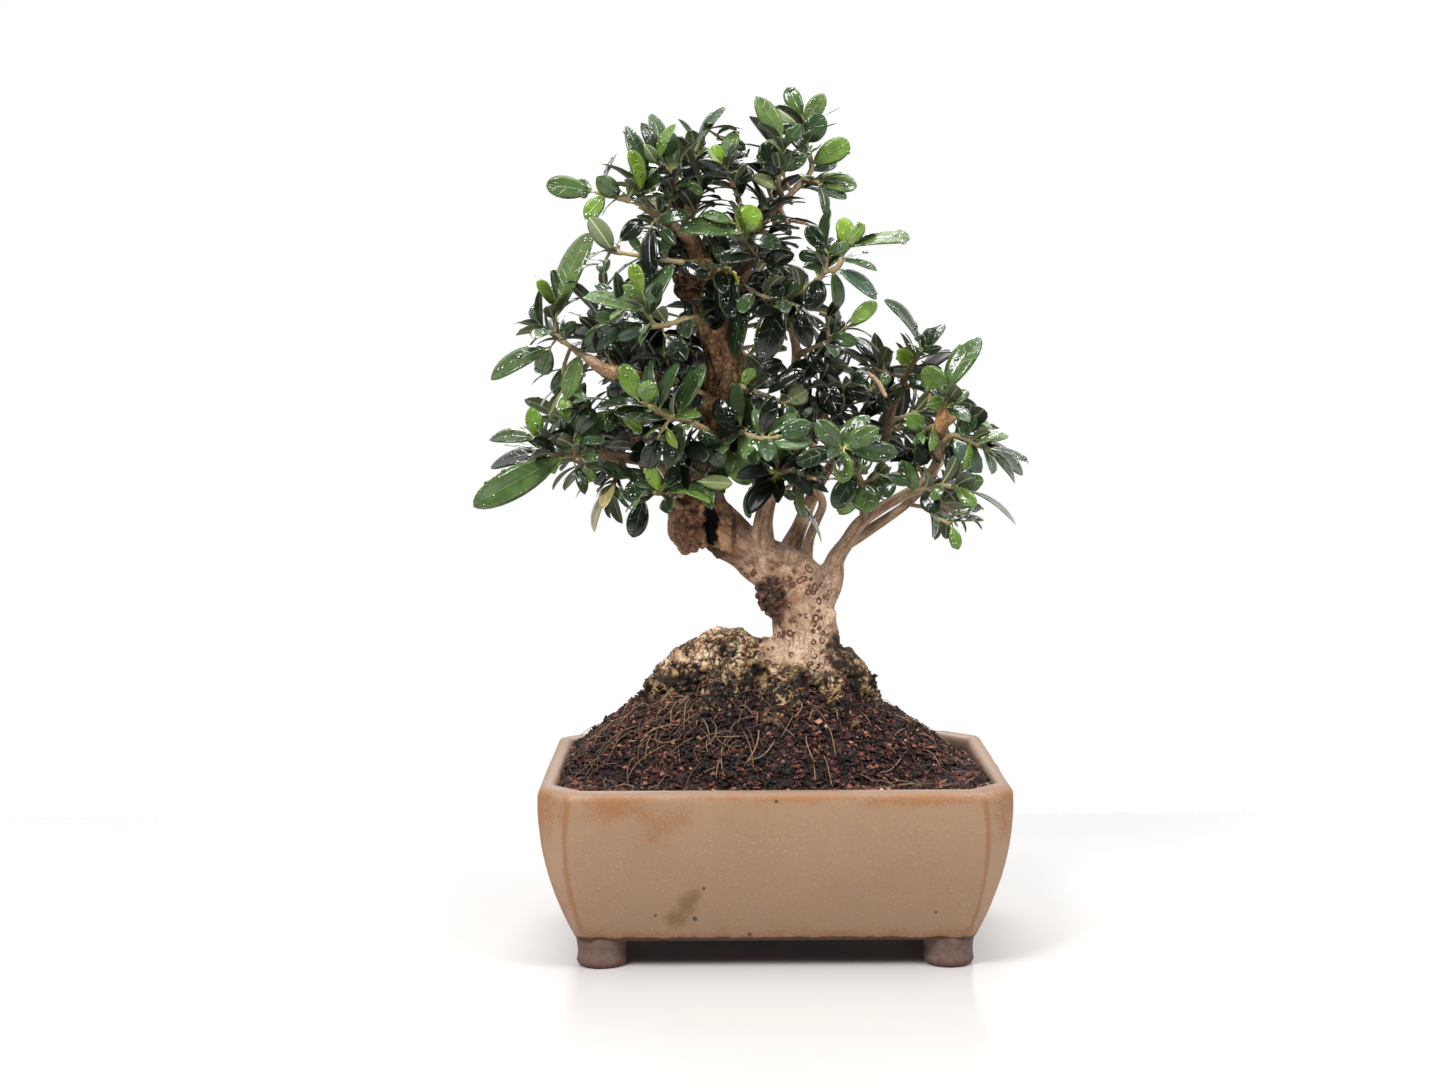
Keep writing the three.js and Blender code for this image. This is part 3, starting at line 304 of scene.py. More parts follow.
def curve_through(row, step):
    """Points about step mm apart on a smooth curve through places: point, radius, place in the row."""
    middles = [place(spot) for spot in row]
    ends = [2 * middles[0] - middles[1], *middles, 2 * middles[-1] - middles[-2]]
    found = []
    for span in range(len(middles) - 1):
        p0, p1, p2, p3 = ends[span : span + 4]
        t1 = np.linalg.norm(p1 - p0) ** 0.5
        t2 = t1 + np.linalg.norm(p2 - p1) ** 0.5
        t3 = t2 + np.linalg.norm(p3 - p2) ** 0.5
        count = max(1, round(np.linalg.norm(p2 - p1) / step))
        for k in range(count):
            share = k / count
            t = t1 + (t2 - t1) * share
            a1 = ((t1 - t) * p0 + t * p1) / t1
            a2 = ((t2 - t) * p1 + (t - t1) * p2) / (t2 - t1)
            a3 = ((t3 - t) * p2 + (t - t2) * p3) / (t3 - t2)
            b1 = ((t2 - t) * a1 + t * a2) / t2
            b2 = ((t3 - t) * a2 + (t - t1) * a3) / (t3 - t1)
            middle = ((t2 - t) * b1 + (t - t1) * b2) / (t2 - t1)
            found.append((middle, row[span][3] * (1 - share) + row[span + 1][3] * share, span + share))
    found.append((middles[-1], row[-1][3], len(row) - 1))
    return found


def along_path(path):
    """The path with its run in mm and a frame that doesn't twist at each point."""
    across = FIRST_ACROSS
    run = 0.0
    frames = []
    for k, (middle, radius, position) in enumerate(path):
        along = unit(path[min(k + 1, len(path) - 1)][0] - path[max(k - 1, 0)][0])
        across = unit(across - along * np.dot(across, along))
        run += np.linalg.norm(middle - path[k - 1][0]) if k else 0.0
        frames.append((middle, radius, position, run, along, across, np.cross(along, across)))
    return frames


def ring_faces(around, rings):
    """The faces of a closed skin over rings of points, with as many points around each."""
    faces = [tuple(range(around))[::-1]]
    for first in range(0, (rings - 1) * around, around):
        for s in range(around):
            t = (s + 1) % around
            faces.append((first + s, first + t, first + around + t, first + around + s))
    faces.append(tuple(range((rings - 1) * around, rings * around)))
    return faces


def tube(path, sides, gnarl=0.0, tip=1.0):
    """A closed tube round a path. tip is how much of the last radius is left."""
    points = []
    turns = np.arange(sides) / sides * 2 * math.pi
    for k, (middle, radius, position, run, along, across, over) in enumerate(along_path(path)):
        lump = 1 + gnarl * (np.sin(3 * turns + 1.7 * position) + 0.7 * np.sin(2 * turns - 0.9 * position))
        reach = (radius * lump * (tip if k == len(path) - 1 else 1.0))[:, None]
        points.append(middle + reach * (np.cos(turns)[:, None] * across + np.sin(turns)[:, None] * over))
    return np.concatenate(points), ring_faces(sides, len(path))


def merged(parts):
    """Several (points, faces) as one."""
    faces = []
    start = 0
    for points, some in parts:
        faces.extend(tuple(index + start for index in face) for face in some)
        start += len(points)
    return np.concatenate([points for points, _ in parts]), faces

# %% [markdown]
# ## Floor, world and lights
# A product photograph of a plant is lit by big soft boxes in a white room, with the pot on a smooth pale
# table. The camera sees the world pure white, and a Light Path node lets it light the tree less, so the
# leaves keep their depth. What is glossy mirrors a bright wall behind the tree and a dim room in front.
# The boxes are area lights, and wet leaves mirror them as well.

# %% Studio
TABLE_BACK = 223
studio = bpy.data.worlds.new("white studio")
studio.use_nodes = True
studio.node_tree.nodes.clear()
seen_white = add(studio, "Background", {"Color": "#FFFFFF"})
room_light = add(studio, "Background", {"Color": "#F8F9FF", "Strength": 0.16})
to_camera = add(studio, "LightPath", output="Is Camera Ray")
to_mirror = add(studio, "LightPath", output="Is Glossy Ray")
all_round = add(studio, "TexCoord", output="Generated")
backward = add(studio, "SeparateXYZ", {0: all_round}, output="Y")
wall = add(studio, "MapRange", {0: backward, 1: -0.1, 2: 0.35, 3: 0.04, 4: 0.95})
mirrored = add(studio, "Background", {"Color": "#FFFFFF", "Strength": wall})
dim_room = add(studio, "MixShader", {0: to_mirror, 1: room_light, 2: mirrored})
lit_room = add(studio, "MixShader", {0: to_camera, 1: dim_room, 2: seen_white})
add(studio, "OutputWorld", {"Surface": lit_room})
bpy.context.scene.world = studio
bpy.context.scene.view_settings.view_transform = "Standard"

lacquer, node, _ = new_material("white lacquered table")
table_top = node("BsdfPrincipled", {"Base Color": "#CECCCA", "Roughness": 0.16, "IOR": 1.45})
node("OutputMaterial", {"Surface": table_top})
corners = [[-1600, -1300, 0], [1600, -1300, 0], [1600, TABLE_BACK, 0], [-1600, TABLE_BACK, 0]]
table = mesh_object("table", in_frame(corners), [(0, 1, 2, 3)])
table.data.materials.append(lacquer)

# %% Soft boxes
SOFT_BOXES = {
    "box overhead": [(40, -20, 1300), 800, 7.0],
    "box over the front left": [(-520, -620, 900), 460, 14.0],
    "box over the front right": [(620, -420, 780), 380, 8.0],
    "box behind": [(-60, 700, 980), 520, 9.0],
}
for name, (spot, size, power) in SOFT_BOXES.items():
    lamp = bpy.data.lights.new(name, "AREA")
    lamp.size = size * MM
    lamp.energy = power
    box = linked(name, lamp)
    aim = np.array([0.0, 0.0, 190.0]) - np.array(spot)
    box.location = in_frame(spot)
    box.rotation_euler = (math.atan2(math.hypot(aim[0], aim[1]), -aim[2]), 0, math.atan2(-aim[0], aim[1]))
print("soft boxes:", len(SOFT_BOXES))

# %% [markdown]
# ## The pot
# The pot is pressed stoneware, fired brown: a rectangle with cut corners that swells up to a rounded
# rim. A box could be bevelled and tapered, but the cut grows with the height and the side is a curve.
# So the pot is lofted: one plan of the rectangle is drawn at many heights, each with its own inset.

# %% The pot's plan and sides
POT_LENGTH, POT_WIDTH, POT_WALL = 182, 132, 7
POT_WIDEST, POT_UNDERSIDE, POT_FLOOR = 66, 11, 19
POT_DRAW_IN, POT_CURVE = 14.2, 1.9
CORNER_CUT_TOP, CORNER_CUT_BOTTOM, EDGE_SOFTENING = 12, 3.5, 1.6
SIDE_STEPS = {"long": 60, "short": 42, "cut": 6, "edge": 4}


def draw_in(height):
    """How far the side stands in from its widest ring at a height."""
    down = max(0.0, (POT_WIDEST - height) / (POT_WIDEST - POT_UNDERSIDE))
    return POT_DRAW_IN * down**POT_CURVE


def pot_ring(height, inset, steps=SIDE_STEPS):
    """The pot's plan at a height as a ring of points, with its eight upright edges softly rounded."""
    share = min(1.0, (height - POT_UNDERSIDE) / (POT_WIDEST - POT_UNDERSIDE))
    cut = CORNER_CUT_BOTTOM + (CORNER_CUT_TOP - CORNER_CUT_BOTTOM) * share
    x, y = POT_LENGTH / 2 - inset, POT_WIDTH / 2 - inset
    corners = [(x, y - cut), (x - cut, y), (cut - x, y), (-x, y - cut)]
    corners += [(-a, -b) for a, b in corners]
    soft = EDGE_SOFTENING
    ring = []
    for k, corner in enumerate(corners):
        corner = np.array(corner)
        toward = unit(np.array(corners[(k + 1) % 8]) - corner)
        back = unit(np.array(corners[k - 1]) - corner)
        start, end = corner + back * soft, corner + toward * soft
        for share in np.arange(steps["edge"]) / steps["edge"]:
            ring.append(start * (1 - share) ** 2 + corner * 2 * share * (1 - share) + end * share**2)
        following = np.array(corners[(k + 1) % 8]) - toward * soft
        count = steps["cut"] if k % 2 == 0 else steps["long" if k in (1, 5) else "short"]
        ring += [end + (following - end) * share for share in np.arange(count) / count]
    return [(a, b, height) for a, b in ring]


def loft(rings):
    """A closed skin over rings of equal count."""
    return np.concatenate([np.array(ring) for ring in rings]), ring_faces(len(rings[0]), len(rings))


print("the pot draws in by", round(draw_in(POT_UNDERSIDE), 1), "mm at its underside")

# %% [markdown]
# ## Drain holes
# Water leaves through two round holes. A Boolean modifier cuts them out of the lofted body, as the
# potter cuts them out of the damp clay. Every later finish depends on a point's place alone, so it
# doesn't matter that the cut adds points.

# %% Cutting with a Boolean
DRAIN_RADIUS, DRAIN_AT = 7, 38


def taken(made, *helpers):
    """The points in mm, faces and normals of an object as its modifiers leave it. It is then removed."""
    graph = bpy.context.evaluated_depsgraph_get()
    mesh = bpy.data.meshes.new_from_object(made.evaluated_get(graph))
    points = np.empty(len(mesh.vertices) * 3)
    mesh.vertices.foreach_get("co", points)
    normals = np.empty(len(mesh.vertices) * 3)
    mesh.vertex_normals.foreach_get("vector", normals)
    faces = [tuple(face.vertices) for face in mesh.polygons]
    for helper in (made, *helpers):
        bpy.data.objects.remove(helper)
    return points.reshape(-1, 3) / MM - MIDDLE, faces, normals.reshape(-1, 3)


sides = [(11, draw_in(11) + 1.2), (11.3, draw_in(11) + 0.35), (12, draw_in(12) + 0.1), (13, draw_in(13))]
sides += [(height, draw_in(height)) for height in np.arange(15, 66.1, 1.5)]
rim = [(67, 0), (68.2, 0.06), (69.6, 0.35), (70.7, 0.95), (71.5, 1.8), (71.95, 2.9), (72, 4.2), (71.7, 5.5)]
rim += [(71, 6.4), (69.8, 6.9)]
inside = [(height, draw_in(height) + POT_WALL) for height in (68, 63, 56, 44, 33, 25, 21)]
inside += [(POT_FLOOR, draw_in(POT_FLOOR) + POT_WALL + 2)]
body_points, body_faces = loft([pot_ring(*ring) for ring in sides + rim + inside])
drains = []
for x in (-DRAIN_AT, DRAIN_AT):
    ends = [np.array([x, 0, 0.0]), np.array([x, 0, 2.0 * POT_FLOOR])]
    drains.append(tube([(end, DRAIN_RADIUS, 0) for end in ends], 32))
drain_points, drain_faces = merged(drains)
pot_draft = mesh_object("pot draft", in_frame(body_points), body_faces)
bore = mesh_object("bore", in_frame(drain_points), drain_faces)
drill = pot_draft.modifiers.new("drill", "BOOLEAN")
drill.object = bore
drill.operation = "DIFFERENCE"
drill.solver = "EXACT"
pot_points, pot_faces, pot_normals = taken(pot_draft, bore)
print("pot body after drilling:", len(pot_points), "points")

# %% [markdown]
# ## The glaze
# The pot is stoneware under a satin tan glaze that breaks: it is thick and smooth on the flats, thin and
# rusty on ridges and lips where it ran off, and it bares a paler clay on the rim. The eye gets a soft
# sheen, fine pale specks of about half a millimetre, and ochre bleeding from each edge. How near a point
# is to an upright edge is painted on the mesh. The rest is noise in real millimetres.

# %% Satin glazed stoneware
glaze, node, where = new_material("satin glazed stoneware")
height = node("SeparateXYZ", {0: where}, output="Z")
depth = node("SeparateXYZ", {0: where}, output="Y")
ridge, rim_share, patches, stains = (
    node("Attribute", attribute_name=layer, output="Fac") for layer in ("ridge", "rim", "rust", "stain"))
clouds = node("TexNoise", {"Vector": where, "Scale": 1 / 26, "Detail": 4.0})
flecks = node("TexNoise", {"Vector": where, "Scale": 1 / 1.0})
fleck_share = node("MapRange", {0: flecks, 1: 0.58, 2: 0.68, 4: 0.6})
pits = node("TexVoronoi", {"Vector": where, "Scale": 1 / 2.4})
pit_share = node("MapRange", {0: pits, 1: 0.16, 2: 0.06, 4: 0.5})
bleed = node("TexNoise", {"Vector": where, "Scale": 1 / 7, "Detail": 5.0, "Roughness": 0.65})
near_lip = node("MapRange", {0: height, 1: 58.0, 2: 70.5, 4: 0.16})
near_foot = node("MapRange", {0: height, 1: 19.0, 2: 13.0, 4: 0.5})
on_ridge = node("Math", {0: ridge, 1: 0.75}, operation="MULTIPLY")
rusty = near_lip
sandy = node("Math", {0: flecks, 1: bleed}, operation="ADD")
for more in (near_foot, on_ridge, patches, sandy):
    rusty = node("Math", {0: rusty, 1: more}, operation="ADD")
rust_share = node("MapRange", {0: rusty, 1: 1.2, 2: 1.5, 4: 0.62})
thick = node("Mix", {0: clouds, 6: "#907256", 7: "#9E8066"}, **IN_COLOUR)
flecked = node("Mix", {0: fleck_share, 6: thick, 7: "#BA8A54"}, **IN_COLOUR)
pitted = node("Mix", {0: pit_share, 6: flecked, 7: "#7A5C44"}, **IN_COLOUR)
rusted = node("Mix", {0: rust_share, 6: pitted, 7: "#8C5626"}, **IN_COLOUR)
stain_break = node("TexNoise", {"Vector": where, "Scale": 1 / 1.3, "Detail": 4.0})
stain_sum = node("Math", {0: stains, 1: stain_break}, operation="ADD")
stain_share = node("MapRange", {0: stain_sum, 1: 0.7, 2: 1.3, 4: 0.85})
stained = node("Mix", {0: stain_share, 6: rusted, 7: "#76592F"}, **IN_COLOUR)
seen_flat = node("VectorMath", {0: where, 1: (1, 0, 1)}, operation="MULTIPLY")
in_front = node("MapRange", {0: depth, 1: -40.0, 2: -41.0, 4: 0.85})
IRON_SPOTS = [(-27.5, 34, 0.9), (-31, 21, 1.3), (-46, 22.5, 0.8), (-10, 14, 1.1), (0, 68.5, 0.9),
    (61, 23.5, 0.8)]
for x, z, size in IRON_SPOTS:
    spot_away = node("VectorMath", {0: seen_flat, 1: (x, 0, z)}, output="Value", operation="DISTANCE")
    spot_share = node("MapRange", {0: spot_away, 1: size, 2: size * 0.5})
    spot_share = node("Math", {0: spot_share, 1: in_front}, operation="MULTIPLY")
    stained = node("Mix", {0: spot_share, 6: stained, 7: "#2C2018"}, **IN_COLOUR)
rim_clay = node("Mix", {0: bleed, 6: "#78604C", 7: "#927662"}, **IN_COLOUR)
lipped = node("Mix", {0: rim_share, 6: stained, 7: rim_clay}, **IN_COLOUR)
run_off = node("Math", {0: bleed, 1: -3.0, 2: height}, operation="MULTIPLY_ADD")
bare = node("MapRange", {0: run_off, 1: 11.6, 2: 11.0})
glaze_colour = node("Mix", {0: bare, 6: lipped, 7: "#54392E"}, **IN_COLOUR)
sheen = node("MapRange", {0: clouds, 1: 0.3, 2: 0.7, 3: 0.42, 4: 0.55})
glaze_rough = node("Math", {0: sheen, 1: bare}, operation="MAXIMUM")
skin = node("TexNoise", {"Vector": where, "Scale": 1 / 1.6, "Detail": 3.0})
skin_relief = node("Bump", {"Height": skin, "Distance": 0.05 * MM})
relief = node("Bump", {"Height": pit_share, "Distance": -0.06 * MM, "Normal": skin_relief})
glazed = {"Base Color": glaze_colour, "Roughness": glaze_rough, "IOR": 1.5, "Normal": relief}
node("OutputMaterial", {"Surface": node("BsdfPrincipled", glazed)})

# %% [markdown]
# ## The pot's body
# A pressed side is never quite flat. The body gets a slow waviness of a quarter of a millimetre, and a
# raised crack runs over the right end of the rim. Then the places of the finish are painted on: ridges,
# the bare rim, and the stains and iron spots that the photograph shows on the front.

# %% The glazed body
STAINS = [(-34, 27, 4, 5.5), (-38, 21, 5, 4.5), (-31, 31, 3, 3.5)]
RUSTY = [(-62, 66, 14, 7), (-44, 60, 13, 8), (-89, 62, 7, 12), (87, 62, 6, 12), (52, 69, 22, 3),
    (0, 70, 40, 2), (-84, 26, 6, 10)]
outside = (pot_normals[:, 2] < 0.9) & (pot_points[:, 2] > 11.5)
wave = 0.25 * rough(pot_points, 38, 3, 2)
lumps = 0.08 * rough(pot_points, 6, 4, 2)
pot_points = pot_points + pot_normals * ((wave + lumps) * outside)[:, None]
crack_way = np.abs(pot_points[:, 1] + 14 - 0.25 * (pot_points[:, 0] - 86) - 1.2 * np.sin(pot_points[:, 0]))
crack = np.exp(-((crack_way / 0.9) ** 2)) * (pot_points[:, 0] > 78) * (pot_points[:, 2] > 69)
pot_points[:, 2] += 0.5 * crack
insets = np.array([draw_in(h) for h in pot_points[:, 2]])
cuts = CORNER_CUT_BOTTOM + (CORNER_CUT_TOP - CORNER_CUT_BOTTOM) * np.clip((pot_points[:, 2] - 11) / 55, 0, 1)
far_x, far_y = np.abs(pot_points[:, 0]), np.abs(pot_points[:, 1])
half_x, half_y = POT_LENGTH / 2 - insets, POT_WIDTH / 2 - insets
to_edge = np.minimum(
    np.hypot(far_x - half_x, far_y - (half_y - cuts)), np.hypot(far_x - (half_x - cuts), far_y - half_y)
)
pot_body = add_piece("pot_body", pot_points, pot_faces, [glaze], "glazed_clay", ["pot"])
paint(pot_body, "ridge", np.exp(-((to_edge / 1.1) ** 2)))
facing_in = (pot_normals[:, :2] * pot_points[:, :2]).sum(1) < -5
paint(pot_body, "rim", np.maximum(step_between(pot_points[:, 2], 70.4, 71.6), facing_in))
for layer, marks, strength in (("stain", STAINS, 1.0), ("rust", RUSTY, 0.42)):
    amount = np.zeros(len(pot_points))
    for x, z, wide, tall in marks:
        gap = ((pot_points[:, 0] - x) / wide) ** 2 + ((pot_points[:, 2] - z) / tall) ** 2
        amount = np.maximum(amount, strength * np.exp(-gap) * (pot_points[:, 1] < -40))
    paint(pot_body, layer, amount)
crease(pot_body, 40)

# %% [markdown]
# ## The feet
# Four short round feet were thrown, pressed on and left bare, so they show the purple-brown body that
# the fire gave the clay. Each is turned from one profile like a lathe's work and then dented a little.

# %% Bare fired clay
clay, node, where = new_material("bare fired clay")
foot_height = node("SeparateXYZ", {0: where}, output="Z")
dust = node("TexNoise", {"Vector": where, "Scale": 1 / 2.2, "Detail": 5.0, "Roughness": 0.7})
reddish = node("MapRange", {0: foot_height, 1: 3.6, 2: 0.6, 4: 0.8})
dry = node("Mix", {0: dust, 6: "#43302B", 7: "#836A5E"}, **IN_COLOUR)
fired = node("Mix", {0: reddish, 6: dry, 7: "#5E342E"}, **IN_COLOUR)
clay_relief = node("Bump", {"Height": dust, "Distance": 0.25 * MM})
bare_clay = {"Base Color": fired, "Roughness": 0.85, "Normal": clay_relief}
node("OutputMaterial", {"Surface": node("BsdfPrincipled", bare_clay)})

# %% Feet
FOOT_AT = (67.4, 42.4)
FOOT_PROFILE = [(5, 0), (7.8, 0), (8.8, 0.25), (9.5, 0.9), (9.9, 1.8), (9.7, 3.2), (9.4, 5.2), (9.5, 7),
    (9.8, 8.8), (10, 10.4), (9.9, 12.5)]
FOOT_AROUND = 40
foot_parts = []
for x in (FOOT_AT[0], -FOOT_AT[0]):
    for y in (FOOT_AT[1], -FOOT_AT[1]):
        turns = np.arange(FOOT_AROUND) / FOOT_AROUND * 2 * math.pi
        rings = []
        for radius, up in FOOT_PROFILE:
            ring = np.stack([x + radius * np.cos(turns), y + radius * np.sin(turns), 0 * turns + up], 1)
            dent = 1 - 0.03 * np.abs(rough(ring, 5, 7, 2))[:, None] * [1, 1, 0]
            rings.append((ring - [x, y, 0]) * dent + [x, y, 0])
        foot_parts.append(loft(rings))
pot_feet = add_piece("pot_feet", *merged(foot_parts), [clay], "glazed_clay", ["pot"])
crease(pot_feet, 50)

# %% [markdown]
# ## Drainage screens
# A square of plastic mesh lies over each drain hole, under the soil, and keeps the grit in. The solid
# model already has its true shape, so it stays and only gets its finish: moulded polypropylene, black
# and slightly shiny, dusted with soil.

# %% Moulded polypropylene
polypropylene, node, where = new_material("moulded polypropylene")
silt = node("TexNoise", {"Vector": where, "Scale": 1 / 1.8, "Detail": 4.0})
silt_share = node("MapRange", {0: silt, 1: 0.45, 2: 0.65, 4: 0.7})
dusted = node("Mix", {0: silt_share, 6: "#1C1F1D", 7: "#4A3A30"}, **IN_COLOUR)
matt = node("MapRange", {0: silt_share, 1: 0.0, 2: 0.7, 3: 0.38, 4: 0.9})
moulded = {"Base Color": dusted, "Roughness": matt, "IOR": 1.49}
node("OutputMaterial", {"Surface": node("BsdfPrincipled", moulded)})
for side in ("left", "right"):
    screen = frame["nodes"]["drainage_screen_" + side]
    screen.data.materials.clear()
    screen.data.materials.append(polypropylene)

# %% [markdown]
# ## The wood
# Roots, trunk and branches are one grown body. It could be sculpted by hand. Here every limb is first
# swept as its own tube, and a voxel remesh then melts them into one skin with soft joints, as wood grows
# over its forks. In the texts below each place is across, height and depth as seen, then the radius. A
# comma parts two places, a bar two limbs, and a semicolon ends what belongs to a name.

# %% Rows of the wood


def rows_of(text):
    """The numbers of each row in a text where commas part the rows."""
    return [[float(value) for value in row.split()] for row in text.split(",") if row.strip()]


def runs_of(text):
    """The runs of rows in a text where bars part the runs."""
    return [rows_of(run) for run in text.split("|")]


def named(text):
    """Names and what belongs to each, in a text where semicolons part entries such as name: rows."""
    return {name.strip(): rest for name, rest in (part.split(":") for part in text.split(";"))}


TRUNK = rows_of("""
14 62 2 11, 14 76 2 16, 14 92 2 17, 14 104 1 15.5, 14 114 0 14.2, 14 124 0 13.5, 12.5 134 0 13.2,
9 143.5 0 12.4, 0 151 0 10.2, -10 157.5 0 8.6, -20 165 0 9.5, -26.5 174 0 9.2, -27 185 2 7.4, -23 197 3 6.2,
-21 209 3 6, -20.5 219 2 6.5, -18 230 2 7.2, -20 241 2 7.8, -23 251 2 6.8, -27 262 2 5.8, -27.5 272 2 4.6,
-31 281 2 3.6, -33 289 2 2.9, -32 296 2 2.3, -31.5 301 2 1.9""")
ROOTS = runs_of("""
12 108 0 12, -4 111.5 -2 10.5, -19 112 -4 13.2, -31 108.5 -4 11, -42 101 -3 8.5, -54 88 -2 6, -64 76 0 3.5 |
18 110 0 10, 26 108 -2 10.2, 33 101 -2 8, 42 90 -2 5, 50 78 0 3 | 8 106 -6 11, 5 97 -17 9, 3 84 -29 6 |
-14 106 -8 9.5, -21 97 -20 7.5, -29 84 -32 5 | 20 105 -7 9, 26 96 -18 7, 32 83 -30 4.5 | 14 105 8 11,
17 95 20 8.5, 20 80 33 5 | 2 107 4 11, -11 103 14 9, -20 92 26 6.5""")
BURRS = runs_of("""
3 132 -5 5.2, 0 139 -7 6.4, 2 146 -5 5 | -31 158 -2 6, -34.5 167 -3 7.6, -32 177 -2 6.2 | -26 262 0 4.5,
-33 262.5 -3 5, -36.5 263 -4 4.5, -38.5 263.2 -4 2.6 | 8 153 -8 3.4, 9 157 -9 3""")
LIMBS = named("""
lower_fork: -4 158 -4 5.5, -3.5 168 -6 4, -2 175 -7 3.5, 0 182 -8 3.3, 4 190 -8 3, 9.5 193.5 -9 2.2,
15 196 -12 1.7;
lower_fork_riser: 3.5 188 -8 2.8, 2.5 200 -4 2.4, 5 212 -1 2.2, 8 224 0 2, 10 236 0 2, 8 247 -2 1.9;
thin_riser: 13.5 150 2 2.9, 15 161 4 2.1, 18 169 6 1.9, 20.5 176 6 1.8, 17 183 5 1.8, 15 192 5 1.7,
18 203 7 1.6, 22 213 8 1.5;
right: 18 136 0 8, 24 146 0 5.2, 25.5 153 0 3.9, 30 160 1 3.1, 35 167.5 2 2.8, 44 174 2 2.4, 52 178.5 2 2.2,
59 183 2 2.1, 65 190 2 2, 68 200 2 1.9, 69.5 206.5 2 1.8;
right_riser: 37 169 3 2.4, 42 182 14 2, 45 198 22 1.8, 48 212 24 1.7, 52 223 21 1.5;
left: -21 214 0 4.2, -30 218 -3 3.7, -40 222 -6 3.6, -58 227 -8 3.4, -67 230 -8 2.8, -74 235 -7 2;
low_left: -27 178 4 4.5, -38 187 8 3.3, -50 193 6 2.6, -62 195 0 2.2, -72 196 -6 1.8;
crown_right: -22 252 4 3.8, -14 262 6 3, -9 272 4 2.4, -5 281 2 1.9, -3 288 2 1.6, 1 292 2 1.5, 6 297 2 1.4,
11 302 3 1.2;
crown_left: -30 279 2 3, -38 286 -2 2.2, -46 291.5 -5 1.9;
back_high: -19 228 4 4.4, -16 237 18 3.2, -12 248 32 2.5, -8 258 44 1.8;
back_left: -20 205 5 4, -28 212 20 2.8, -38 221 33 2.2, -48 230 44 1.6;
back_right: 5 152 6 5.5, 11 166 18 3.4, 18 182 28 2.6, 27 196 38 2, 36 209 46 1.6;
back_crown: -24 254 5 3.6, -32 263 17 2.4, -38 274 28 1.8;
back_low_right: 29 159 3 2.8, 42 167 16 2.2, 56 177 28 1.8, 66 188 36 1.5;
back_low_left: -29 178 6 4, -42 183 20 2.8, -56 188 32 2.2, -68 195 40 1.6""")
LIMBS = {name: rows_of(text) for name, text in LIMBS.items()}
print("limbs:", len(LIMBS), "roots:", len(ROOTS), "burrs:", len(BURRS))

# %% [markdown]
# ## Knots, stubs and bare twigs
# A tree that is cut back every year is full of knots, dead stubs and short twigs. They are too small for
# the solid model, so they are added here, starting inside the limb that bears them.

# %% Small wood
KNOTS = runs_of("""
-28 270 -2 5.3, -28 273 -2 5.2 | 66 204 0 2.2, 68 209 -1 2.6, 69 214 0 2 | 70 208 0 1.8, 73.5 210.5 -2 1.5 |
59 205 -2 1.4, 60.5 211 -2 1.3 | 63 215 0 1.3, 64 221 1 1 | 54 198 4 1.3, 60 200.5 2 1.2 | 31 193 -16 1.8,
36 184 -17 1.5 | 75 188 -4 1.2, 75.5 192.5 -5 1 | -28 262 0 6.2, -26 266 0 5.6 | -20 222 1 7.2,
-19.5 226 1 7.6 | -22 204 2 6.6, -21.5 207 2 6.7 | 22 128 -9 3.4, 24 133 -10 2.6""")
BARE_TWIGS = runs_of("""
38 228 -1 1.3, 42 225 -2 1.2, 46 218 -3 1.1 | 20 239 -4 1.2, 26 243 -6 1, 31 247 -7 0.7 | 19 252 -4 1.2,
24 250 -6 1, 27 247 -7 0.8 | 3 294 2 1.4, 6 288 0 1.1, 8 283 -1 0.8 | 8 288.5 -1 1, 14 287 -2 0.8,
19 285 -3 0.6 | 63 184 2 1.6, 70 174 -4 1, 85 169 -7 0.5 | -9 281 -8 1.2, -14 291 -10 1, -12 296 -10 0.6 |
-20 240 1 3, -12 238 -6 1.2, -4 240 -9 0.7""")
WOOD_SKINS = [("trunk", [TRUNK], 28, 0.05, 2.2), ("root", ROOTS, 20, 0.06, 2.0),
    ("burr", BURRS, 16, 0.08, 1.6), ("limb", LIMBS.values(), 14, 0.02, 1.6),
    ("knot", KNOTS, 12, 0.1, 1.0), ("twig", BARE_TWIGS, 9, 0.0, 1.0)]
wood_parts, guides = [], []
for kind, rows, around, gnarl, step in WOOD_SKINS:
    for row in rows:
        path = curve_through(row, step)
        wood_parts.append(tube(path, around, gnarl))
        guides += [(kind, middle, radius, run, across, over)
            for middle, radius, _, run, _, across, over in along_path(path)]
print("tubes:", len(wood_parts), "places along them:", len(guides))

# %% [markdown]
# ## One skin
# The voxel size sets what survives. At 0.8 mm the thinnest riser keeps its round section and the forks
# melt together. A few rounds of smoothing take the steps out before the bark's own relief goes on.

# %% Remesh and smooth
VOXEL, SMOOTHINGS = 0.8, 3
rough_points, rough_faces = merged(wood_parts)
wood_draft = mesh_object("wood draft", in_frame(rough_points), rough_faces)
melt = wood_draft.modifiers.new("melt", "REMESH")
melt.mode = "VOXEL"
melt.voxel_size = VOXEL * MM
soften = wood_draft.modifiers.new("soften", "SMOOTH")
soften.iterations = SMOOTHINGS
wood_points, wood_faces, wood_normals = taken(wood_draft)
print("wood skin:", len(wood_points), "points")

# %% [markdown]
# ## Where on the limb each point lies
# Bark runs along its limb. For each point of the skin, the nearest place along any limb is looked up in
# a tree of places, measured from the limb's surface. It gives how far along and how far round the point
# lies, how thick the limb is, and which kind of wood it is.

# %% Point by point


